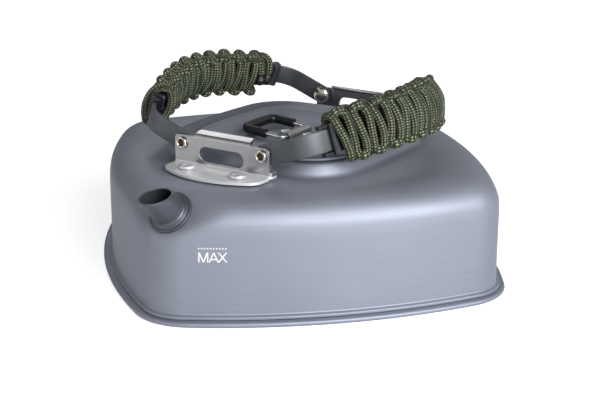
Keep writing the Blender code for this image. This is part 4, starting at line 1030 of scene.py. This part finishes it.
# Grip windings: braided nylon cord, two working ends square-knotted over each sleeve. One end crosses the
# outer face and the other the inner face. They hook round each other along both edges, and both are cut off
# and melted to black beads on the inner face.
CORD_RADIUS = 0.00180
CROSSINGS = 19
CORD_FRONT = 0.0350
CORD_REAR = 0.0372
CORD_GAP = 0.00025
FACE_OUT = CORE_THICK / 2 + CORD_GAP + CORD_RADIUS
TAIL_ROOM = 0.0010
CORD_LEAN = 0.0030
LEAN_FADE = 0.0240
RIGHT_FACE_LEAN = 0.6
RIGHT_EDGE_LEAN = 0.5
HOOK_REACH = 0.0093
PULLED_BEYOND = 0.0070
LEFT_TOP_PULL = 0.92
LEFT_FOOT_PULL = 0.86
CORD_SIDES = 20
CORD_STEP = 0.00060
MELTED_STEPS = 9
MELTED_SWELL = 0.40
SWELL_STEPS = 3
TIP_STEPS = 4
TIP_START = 0.4
BRAID_LENGTH = 0.0084
BRAID_AROUND = 8
HAND_WOBBLE = np.array([0.00010, 0.00008, 0.00008])
PITCH_WOBBLE = 0.00012

braid = Finish("olive_cord", (0.030, 0.036, 0.020), 0.75, 0.0)
set_inputs(braid.shader, {"Sheen Weight": 0.05, "Sheen Roughness": 0.4})
braid_map = braid.nodes.new("ShaderNodeUVMap")
braid_map.uv_map = "braid"
braid_axes = braid.nodes.new("ShaderNodeSeparateXYZ")
braid.links.new(braid_map.outputs["UV"], braid_axes.inputs["Vector"])
lengthwise = braid.times(braid_axes.outputs["X"], BRAID_AROUND)
roundwise = braid.times(braid_axes.outputs["Y"], BRAID_AROUND)
left_lay = braid.sum(lengthwise, roundwise)
right_lay = braid.sum(lengthwise, roundwise, "SUBTRACT")


def rounded_over(value):
    """1 in the middle of each yarn's cell and 0 at its edges: one less the square of twice the distance."""
    whole = braid.sum(value, 0.0, "FLOOR")
    centred = braid.sum(braid.sum(value, braid.times(whole, -1.0)), -0.5)
    return braid.sum(braid.times(braid.times(centred, centred), -4.0), 1.0)


yarn_count = braid.sum(braid.sum(left_lay, 0.0, "FLOOR"), braid.sum(right_lay, 0.0, "FLOOR"))
left_on_top = braid.sum(braid.sum(yarn_count, 2.0, "FLOORED_MODULO"), 0.5, "LESS_THAN")
across_left = rounded_over(left_lay)
across_right = rounded_over(right_lay)
swell = braid.times(across_left, across_right)
pale_yarn = braid.times(braid.spread(across_left, 0.42, 0.88), braid.spread(across_right, 0.1, 0.6))
drift = braid.times(braid_axes.outputs["X"], 0.13)
banded = rounded_over(braid.sum(braid.times(braid_axes.outputs["Y"], 2.0), drift))
pale_yarn = braid.times(pale_yarn, braid.spread(banded, 0.15, 0.45))
dirt = braid.swing(braid.noise(260.0, 3.0), 0.0, 1.0)
rubbed_yarn = braid.times(pale_yarn, braid.spread(braid.noise(1300.0, 2.0), 0.35, 0.65, 0.45, 1.0))
fleck = braid.times(left_on_top, rubbed_yarn)
ground = braid.blend(dirt, (0.009, 0.015, 0.008), (0.023, 0.034, 0.016))
# Where the yarns dip at the edges of their cells the colour is painted nearly black: painted shade between
# the yarns.
ground_with_painted_shade = braid.blend(braid.spread(swell, 0.0, 0.5), (0.004, 0.006, 0.003), ground)
braid.colour(braid.blend(fleck, ground_with_painted_shade, (0.36, 0.39, 0.22)))
braid.bump(swell, 0.7, 0.00025)

melted = Finish("melted_cord", (0.010, 0.011, 0.010), 0.18, 0.0)
melted.grain(900.0, 3.0, 0.10, 0.30, 0.8, 0.0005)

hand_made = np.random.default_rng(7)
crossing_shape = np.array(
    [
        (-0.10, FACE_OUT - 0.0001, -0.0040),
        (0.00, FACE_OUT + 0.0005, 0.0000),
        (0.10, FACE_OUT - 0.0001, 0.0040),
        (0.12, FACE_OUT - 0.0010, 0.0061),
        (0.09, 0.0022, 0.0079),
        (0.10, -0.0004, 0.0088),
        (0.26, -0.0027, 0.0097),
        (0.74, -0.0027, 0.0097),
        (0.90, -0.0004, 0.0088),
        (0.91, 0.0022, 0.0079),
        (0.88, FACE_OUT - 0.0010, 0.0061),
    ]
)
lead_in_shape = [(-0.25, -0.0010, -0.0088), (-0.15, 0.0024, -0.0080), (-0.10, FACE_OUT - 0.0008, -0.0062)]
outer_tail = [(0.26, 0.0018, 0.0084), (0.52, -0.0004, 0.0090), (0.74, -0.0026, 0.0080)]
outer_tail += [(0.80, -FACE_OUT, 0.0052), (0.82, -FACE_OUT - 0.0003, 0.0022)]
outer_tail += [(0.78, -FACE_OUT - 0.0012, -0.0004), (0.66, -FACE_OUT - 0.0031, -0.0012)]
inner_tail = [(-0.06, FACE_OUT + 0.0010, 0.0010), (-0.28, FACE_OUT + 0.0026, 0.0020)]
POINTS_PAST_TAIL = {"outer": 7, "inner": 9}


def knot_path(first, last, label, front_first):
    """Centreline of one working end as (station, outward, upward): straight across its face at each crossing,
    then a U-turn that dips past the edge, where it hooks the other end's, and back across the same face.
    The two crossings that share a U-turn lean together and leave a wedge-shaped gap beside each pair. The
    left grip's hooks are pulled tighter, and near the front end the knots of both grips lean over."""
    face = 1.0 if label == "outer" else -1.0
    crossing = np.arange(CROSSINGS)
    way = np.where(crossing % 2 == (0 if face > 0 else 1), 1.0, -1.0)
    pitch = (last - first) / (CROSSINGS - 1)
    steps = crossing[:, None] + crossing_shape[None, :, 0]
    outward = np.tile(face * crossing_shape[:, 1], (CROSSINGS, 1))
    upward = way[:, None] * crossing_shape[None, :, 2]
    if front_first:
        pull = np.where(upward > 0, LEFT_TOP_PULL, LEFT_FOOT_PULL)
        upward = np.where(np.abs(upward) > PULLED_BEYOND, upward * pull, upward)
    points = np.stack([first + pitch * steps, outward, upward], axis=-1)
    points += hand_made.normal(0.0, 1.0, points.shape) * HAND_WOBBLE
    points[..., 0] += hand_made.normal(0.0, PITCH_WOBBLE, (CROSSINGS, 1))
    points = points.reshape(-1, 3)[: -POINTS_PAST_TAIL[label]]
    tail_shape = outer_tail if label == "outer" else inner_tail
    lead_in, tail = (
        np.stack([start + pitch * ends[:, 0], ends[:, 1] * face, ends[:, 2] * up], axis=1)
        for start, ends, up in (
            (first, np.array(lead_in_shape), way[0]),
            (last, np.array(tail_shape), way[-1]),
        )
    )
    points = np.concatenate([lead_in, points, tail])
    from_front = points[:, 0] - first if front_first else last - points[:, 0]
    fading = CORD_LEAN * np.clip(1 - from_front / LEAN_FADE, 0.0, 1.0)
    if front_first:
        points[:, 0] -= fading * (points[:, 1] / FACE_OUT)
    else:
        leaning = RIGHT_FACE_LEAN * points[:, 1] / FACE_OUT + RIGHT_EDGE_LEAN * points[:, 2] / HOOK_REACH
        points[:, 0] += fading * leaning
    return points


def drawn_tight(points, step):
    """A smooth curve through the points (Catmull-Rom: the cubic whose slope at a point is half the span of
    its neighbours), read off again at even distances."""
    padded = np.concatenate([2 * points[:1] - points[1:2], points, 2 * points[-1:] - points[-2:-1]])
    before, start, end, after = padded[:-3], padded[1:-2], padded[2:-1], padded[3:]
    share = np.linspace(0.0, 1.0, 12, endpoint=False)[None, :, None]
    before, start, end, after = (part[:, None, :] for part in (before, start, end, after))
    curve = 0.5 * (
        2 * start
        + (end - before) * share
        + (2 * before - 5 * start + 4 * end - after) * share**2
        + (3 * start - before - 3 * end + after) * share**3
    )
    curve = np.concatenate([curve.reshape(-1, 3), points[-1:]])
    reach = np.concatenate([[0.0], np.cumsum(np.linalg.norm(np.diff(curve, axis=0), axis=1))])
    even = np.linspace(0.0, reach[-1], int(reach[-1] / step))
    return np.stack([np.interp(even, reach, curve[:, k]) for k in range(3)], axis=1)


def cord_tube(path, radius):
    """Round sections along the path, each turned as little as possible from the one before, drawn in at both
    ends and swollen over the last steps, where the cord is melted."""
    heading = np.gradient(path, axis=0)
    heading /= np.linalg.norm(heading, axis=1)[:, None]
    across = np.zeros_like(path)
    across[0] = np.cross(heading[0], (0.31, 0.52, 0.80))
    for k in range(len(path)):
        carried = across[max(k - 1, 0)]
        carried = carried - heading[k] * (carried @ heading[k])
        across[k] = carried / np.linalg.norm(carried)
    up = np.cross(heading, across)
    turn = np.linspace(0, 2 * math.pi, CORD_SIDES, endpoint=False)
    step = np.arange(len(path))
    from_end = np.minimum(step, step[::-1])
    tip = np.clip((from_end + TIP_START) / TIP_STEPS, 0, 1)
    girth = radius * np.sqrt(np.clip(1 - (1 - tip) ** 2, 0, 1))
    girth *= 1 + MELTED_SWELL * np.clip((step - len(path) + MELTED_STEPS) / SWELL_STEPS, 0, 1)
    spread = np.cos(turn)[None, :, None] * across[:, None] + np.sin(turn)[None, :, None] * up[:, None]
    return path[:, None] + girth[:, None, None] * spread


def lay_braid(cord):
    """The braid's map: each corner's distance along the cord over BRAID_LENGTH, and its share of the way
    round, which reads 1 instead of 0 on the far side of the quads that close the ring."""
    corner = np.empty(len(cord.data.loops), np.int32)
    cord.data.loops.foreach_get("vertex_index", corner)
    row, place = np.divmod(corner, CORD_SIDES)
    uv = np.stack([row * CORD_STEP / BRAID_LENGTH, place / CORD_SIDES], axis=1)
    quad_count = len(cord.data.polygons) - 2
    quad = uv[: quad_count * 4].reshape(-1, 4, 2)
    closing = quad[..., 1].max(axis=1) - quad[..., 1].min(axis=1) > 0.5
    quad[closing, :, 1] += np.where(quad[closing, :, 1] < 0.5, 1.0, 0.0)
    cord.data.uv_layers.new(name="braid").data.foreach_set("uv", uv.astype(np.float32).ravel())


for name, side, rest, turn, body in handles:
    front_first = name == "left"
    first = CORD_FRONT if front_first else CORD_REAR
    last = hoop_length - (CORD_REAR if front_first else CORD_FRONT) - TAIL_ROOM
    for label in ("outer", "inner"):
        knots = knot_path(first, last, label, front_first)
        path = drawn_tight(along_hoop(knots[:, 0], knots[:, 1], knots[:, 2]), CORD_STEP)
        rows = as_hung(cord_tube(path, CORD_RADIUS), side, rest, turn)
        cord = made_piece(f"{name}_grip_cord_{label}", skin(rows), braid.material, 180.0)
        far_end_finished(cord, melted.material, MELTED_STEPS * CORD_SIDES)
        lay_braid(cord)
        if label == "outer":
            fitted(cord, body, "olive_cord", name + "_cord_winding")
        else:
            fitted(cord, body, "olive_cord")

# Lid: drawn from slightly thinner sheet than the body, with a rolled edge that sits on the boss, a level band
# and a dish for the bail. A collar welded under it drops into the neck.
LID_HALF = 0.0435
LID_SIDE_RADIUS = 0.2400
LID_CORNER_RADIUS = 0.0200
LID_SHEET = 0.0011
LID_CREST = 0.0590
LID_BAND = 0.0584
LID_FLOOR = 0.0545
LID_UNDER = 0.0573
COLLAR_OUT = 0.0335
COLLAR_IN = 0.0325
LID_POINTS = 320
lid_angles = polar_angles(LID_POINTS, 0.35)


def lid_ring(half, height):
    """The lid's outline at another half size; its corners tighten more slowly than its sides move in."""
    shrink = LID_HALF - half
    corner = min(LID_CORNER_RADIUS - 0.6 * shrink, 0.9 * half)
    outline = square_radius(lid_angles, half, LID_SIDE_RADIUS - shrink, corner)
    return level_ring(lid_angles, outline, height)


floor_under, band_under = LID_FLOOR - LID_SHEET, LID_BAND - LID_SHEET
lid_edge = LID_HALF - LID_SHEET
lid_profile = [(0.0040, LID_FLOOR), (0.0150, LID_FLOOR), (0.0240, LID_FLOOR), (0.0254, LID_FLOOR + 0.0001)]
lid_profile += [(0.0270, LID_FLOOR + 0.0007), (0.0312, LID_BAND - 0.0014), (0.0328, LID_BAND - 0.0004)]
lid_profile += [(0.0338, LID_BAND - 0.0001), (0.0345, LID_BAND + 0.0003), (0.0352, LID_BAND + 0.0003)]
lid_profile += [(0.0360, LID_BAND), (0.0385, LID_BAND + 0.0001), (0.0404, LID_CREST - 0.0002)]
lid_profile += [(0.0412, LID_CREST), (0.0422, LID_CREST), (0.0430, LID_CREST - 0.0003)]
lid_profile += [(LID_HALF, LID_CREST - 0.0009), (LID_HALF, LID_UNDER), (LID_HALF - 0.0005, LID_UNDER)]
lid_profile += [(lid_edge, LID_UNDER), (lid_edge, LID_UNDER + 0.0004), (0.0405, LID_CREST - LID_SHEET)]
lid_profile += [(0.0340, band_under), (0.0318, band_under - 0.0007), (0.0262, floor_under + 0.0003)]
lid_profile += [(0.0240, floor_under), (0.0040, floor_under)]
lid_rows = rolled_rows([lid_ring(half, height) for half, height in lid_profile], 1)
lid_plate = made_piece("lid_pressing", skin(lid_rows @ turn_diagonal.T), anodised_grey)
fitted(lid_plate, "lid_plate", "anodised_grey", "lid")

collar_profile = [(COLLAR_OUT, 0.0530), (COLLAR_OUT, 0.0545), (COLLAR_OUT, 0.0561), (COLLAR_IN, 0.0561)]
collar_profile += [(COLLAR_IN, 0.0540), (COLLAR_IN, 0.0527), (0.0330, 0.0525)]
collar_rows = []
for half, height in collar_profile:
    grow = half - BOSS_TOP_HALF
    outline = square_radius(lid_angles, half, BOSS_SIDE_RADIUS + grow, BOSS_CORNER_RADIUS + 0.75 * grow)
    collar_rows.append(level_ring(lid_angles, outline, height))
collar_rows = rolled_rows(collar_rows, 1, closed=True)
collar = made_piece("lid_collar_band", skin(collar_rows @ turn_diagonal.T, wrap_rows=True), anodised_grey)
fitted(collar, "lid_plate", "anodised_grey", "lid_collar")

# Saddle: a bright strip humped over the bail's wire, its two round tabs riveted to the floor of the dish by
# flat-headed steel rivets.
BAIL_OFFSET = -0.0007
HINGE_LIFT = 0.0018
HINGE_HEIGHT = LID_FLOOR + HINGE_LIFT
SADDLE_HALF = 0.0086
SADDLE_SHEET = 0.0008
LID_RIVET_OUT = 0.0058
TAB_LOW = LID_FLOOR + CLEARANCE
TAB_OUT = 0.0057
TAB_INNER = 0.0017
TAB_RADIUS = 0.0036
HUMP_INSIDE = 0.0013
HUMP_OUTSIDE = HUMP_INSIDE + SADDLE_SHEET
SADDLE_EDGE_BREAK = 0.0001

hump = [(HUMP_OUTSIDE, TAB_LOW)] + arc((0.0, HINGE_HEIGHT), HUMP_OUTSIDE, 0.0, math.pi, 20)
hump += [(-HUMP_OUTSIDE, TAB_LOW), (-HUMP_INSIDE, TAB_LOW)]
hump += arc((0.0, HINGE_HEIGHT), HUMP_INSIDE, math.pi, 0.0, 16) + [(HUMP_INSIDE, TAB_LOW)]
saddle = made_piece("bail_saddle", pushed(hump, -SADDLE_HALF, SADDLE_HALF, 0), bright.material)
for side in (-1, 1):
    tab = arc((0.0, side * TAB_OUT), TAB_RADIUS, 0.0, side * math.pi, 20)
    tab += [(-TAB_RADIUS, side * TAB_INNER), (TAB_RADIUS, side * TAB_INNER)]
    worked(saddle, pushed(tab, TAB_LOW + 0.00001, TAB_LOW + SADDLE_SHEET, 2), "UNION")
edges_broken(saddle, SADDLE_EDGE_BREAK)
saddle.data.transform(Matrix.Rotation(DIAGONAL, 4, "Z") @ Matrix.Translation((0.0, BAIL_OFFSET, 0.0)))
fitted(saddle, "lid_plate", "stainless", "lid_hinge_saddle")

rivet_face = TAB_LOW + SADDLE_SHEET + CLEARANCE
tail_face = LID_FLOOR - LID_SHEET - CLEARANCE
flat_head = [(0.0010, tail_face - 0.0007), (0.0021, tail_face - 0.0006), (0.0023, tail_face)]
flat_head += [(0.0012, tail_face), (0.0012, rivet_face), (0.0026, rivet_face), (0.0028, rivet_face + 0.0002)]
flat_head += [(0.0026, rivet_face + 0.0006), (0.0020, rivet_face + 0.0008), (0.0006, rivet_face + 0.0008)]
for label, side in (("a", -1), ("b", 1)):
    foot = (0.0, BAIL_OFFSET + side * LID_RIVET_OUT, 0.0)
    name = "saddle_rivet_" + label
    rivet = turned_piece(name, flat_head, 40, foot, (0, 0, 1), (1, 0, 0), rivet_metal.material, 50.0)
    fitted(rivet, "lid_plate", "stainless", "lid_rivet_" + label)

# Bail: a ring of bright wire that hinges in the saddle and lies in the dish. A soft black sleeve is pushed
# round its far side to keep it cool to lift.
BAIL_HALF = 0.0110
BAIL_REACH = 0.0207
WIRE_RADIUS = 0.0010
OUTER_BEND = 0.0036
INNER_BEND = 0.0022
SLEEVE_RADIUS = 0.0020
SLEEVE_SEAT = 0.0022
SLEEVE_START = 0.0087
SLEEVE_END_ROUND = 0.00035
SLEEVE_END_RUN = 0.0002
SLEEVE_FIT = 0.0001
bail_rest = math.asin((SLEEVE_SEAT + CLEARANCE - HINGE_LIFT) / SLEEVE_START)

soft_sleeve = Finish("bail_sleeve", (0.003, 0.003, 0.004), 0.42, 0.0)
dull = soft_sleeve.grain(900.0, 3.0, 0.30, 0.52, 0.2, 0.00008)
soft_sleeve.colour(
    soft_sleeve.blend(soft_sleeve.spread(dull, 0.4, 0.8), (0.002, 0.002, 0.003), (0.006, 0.006, 0.008))
)

chromed = Finish("bail_wire", (0.66, 0.66, 0.67), 0.14, 1.0)
chromed.grain(800.0, 3.0, 0.08, 0.22, 0.04, 0.00002)


def u_of_wire(start, steps):
    """Centreline from one leg round both outer bends to the other leg, as (x, y) with the hinge on y = 0."""
    bend_x, bend_y = BAIL_HALF - OUTER_BEND, BAIL_REACH - OUTER_BEND
    points = [(-BAIL_HALF, y) for y in np.linspace(start, bend_y, 9)[:-1]]
    points += arc((-bend_x, bend_y), OUTER_BEND, math.pi, math.pi / 2, steps)
    points += [(x, BAIL_REACH) for x in np.linspace(-bend_x, bend_x, 9)[1:-1]]
    points += arc((bend_x, bend_y), OUTER_BEND, math.pi / 2, 0.0, steps)
    return np.array(points + [(BAIL_HALF, y) for y in np.linspace(bend_y, start, 9)[1:]])


def wire_rows(flat_path, radii, sides, closed):
    """Round sections of the given radii along a path in the hinge's own plane: the path's normal in that
    plane and the plane's upright span each section."""
    path = np.column_stack([flat_path, np.zeros(len(flat_path))])
    if closed:
        heading = np.roll(path, -1, axis=0) - np.roll(path, 1, axis=0)
    else:
        heading = np.gradient(path, axis=0)
    heading /= np.linalg.norm(heading, axis=1)[:, None]
    across = np.stack([-heading[:, 1], heading[:, 0], np.zeros(len(path))], axis=1)
    turn = np.linspace(0, 2 * math.pi, sides, endpoint=False)
    spread = np.cos(turn)[None, :, None] * across[:, None]
    spread = spread + np.sin(turn)[None, :, None] * np.array([0.0, 0.0, 1.0])
    return path[:, None] + np.asarray(radii)[:, None, None] * spread


def laid_in_dish(rows):
    """Rows of the bail's plane tipped about the hinge by its rest angle and set on the lid."""
    return (tipped(rows, bail_rest) + np.array([0.0, BAIL_OFFSET, HINGE_HEIGHT])) @ turn_diagonal.T


near_x = BAIL_HALF - INNER_BEND
right_bend = arc((near_x, INNER_BEND), INNER_BEND, 0.0, -math.pi / 2, 10)[1:]
left_bend = arc((-near_x, INNER_BEND), INNER_BEND, -math.pi / 2, -math.pi, 10)[:-1]
loop = np.concatenate([u_of_wire(INNER_BEND, 14), right_bend, left_bend])
loop_rows = laid_in_dish(wire_rows(loop, np.full(len(loop), WIRE_RADIUS), 20, True))
wire = made_piece("bail_wire_loop", skin(loop_rows, wrap_rows=True), chromed.material)
fitted(wire, "bail", "stainless", "lid_bail")

tube = u_of_wire(SLEEVE_START, 14)
inward = np.array((0.0, SLEEVE_END_RUN))
tube = np.concatenate([tube[:1], tube[:1] + inward, tube[1:-1], tube[-1:] + inward, tube[-1:]])
swollen = np.full(len(tube), SLEEVE_RADIUS)
swollen[[0, -1]] = SLEEVE_RADIUS - SLEEVE_END_ROUND
narrow = np.full(len(tube), WIRE_RADIUS + SLEEVE_FIT)
tube_skin = np.concatenate([wire_rows(tube, swollen, 28, False), wire_rows(tube, narrow, 28, False)[::-1]])
sleeve = made_piece("bail_soft_sleeve", skin(laid_in_dish(tube_skin), wrap_rows=True), soft_sleeve.material)
fitted(sleeve, "bail", "black_rubber", "lid_bail_sleeve")
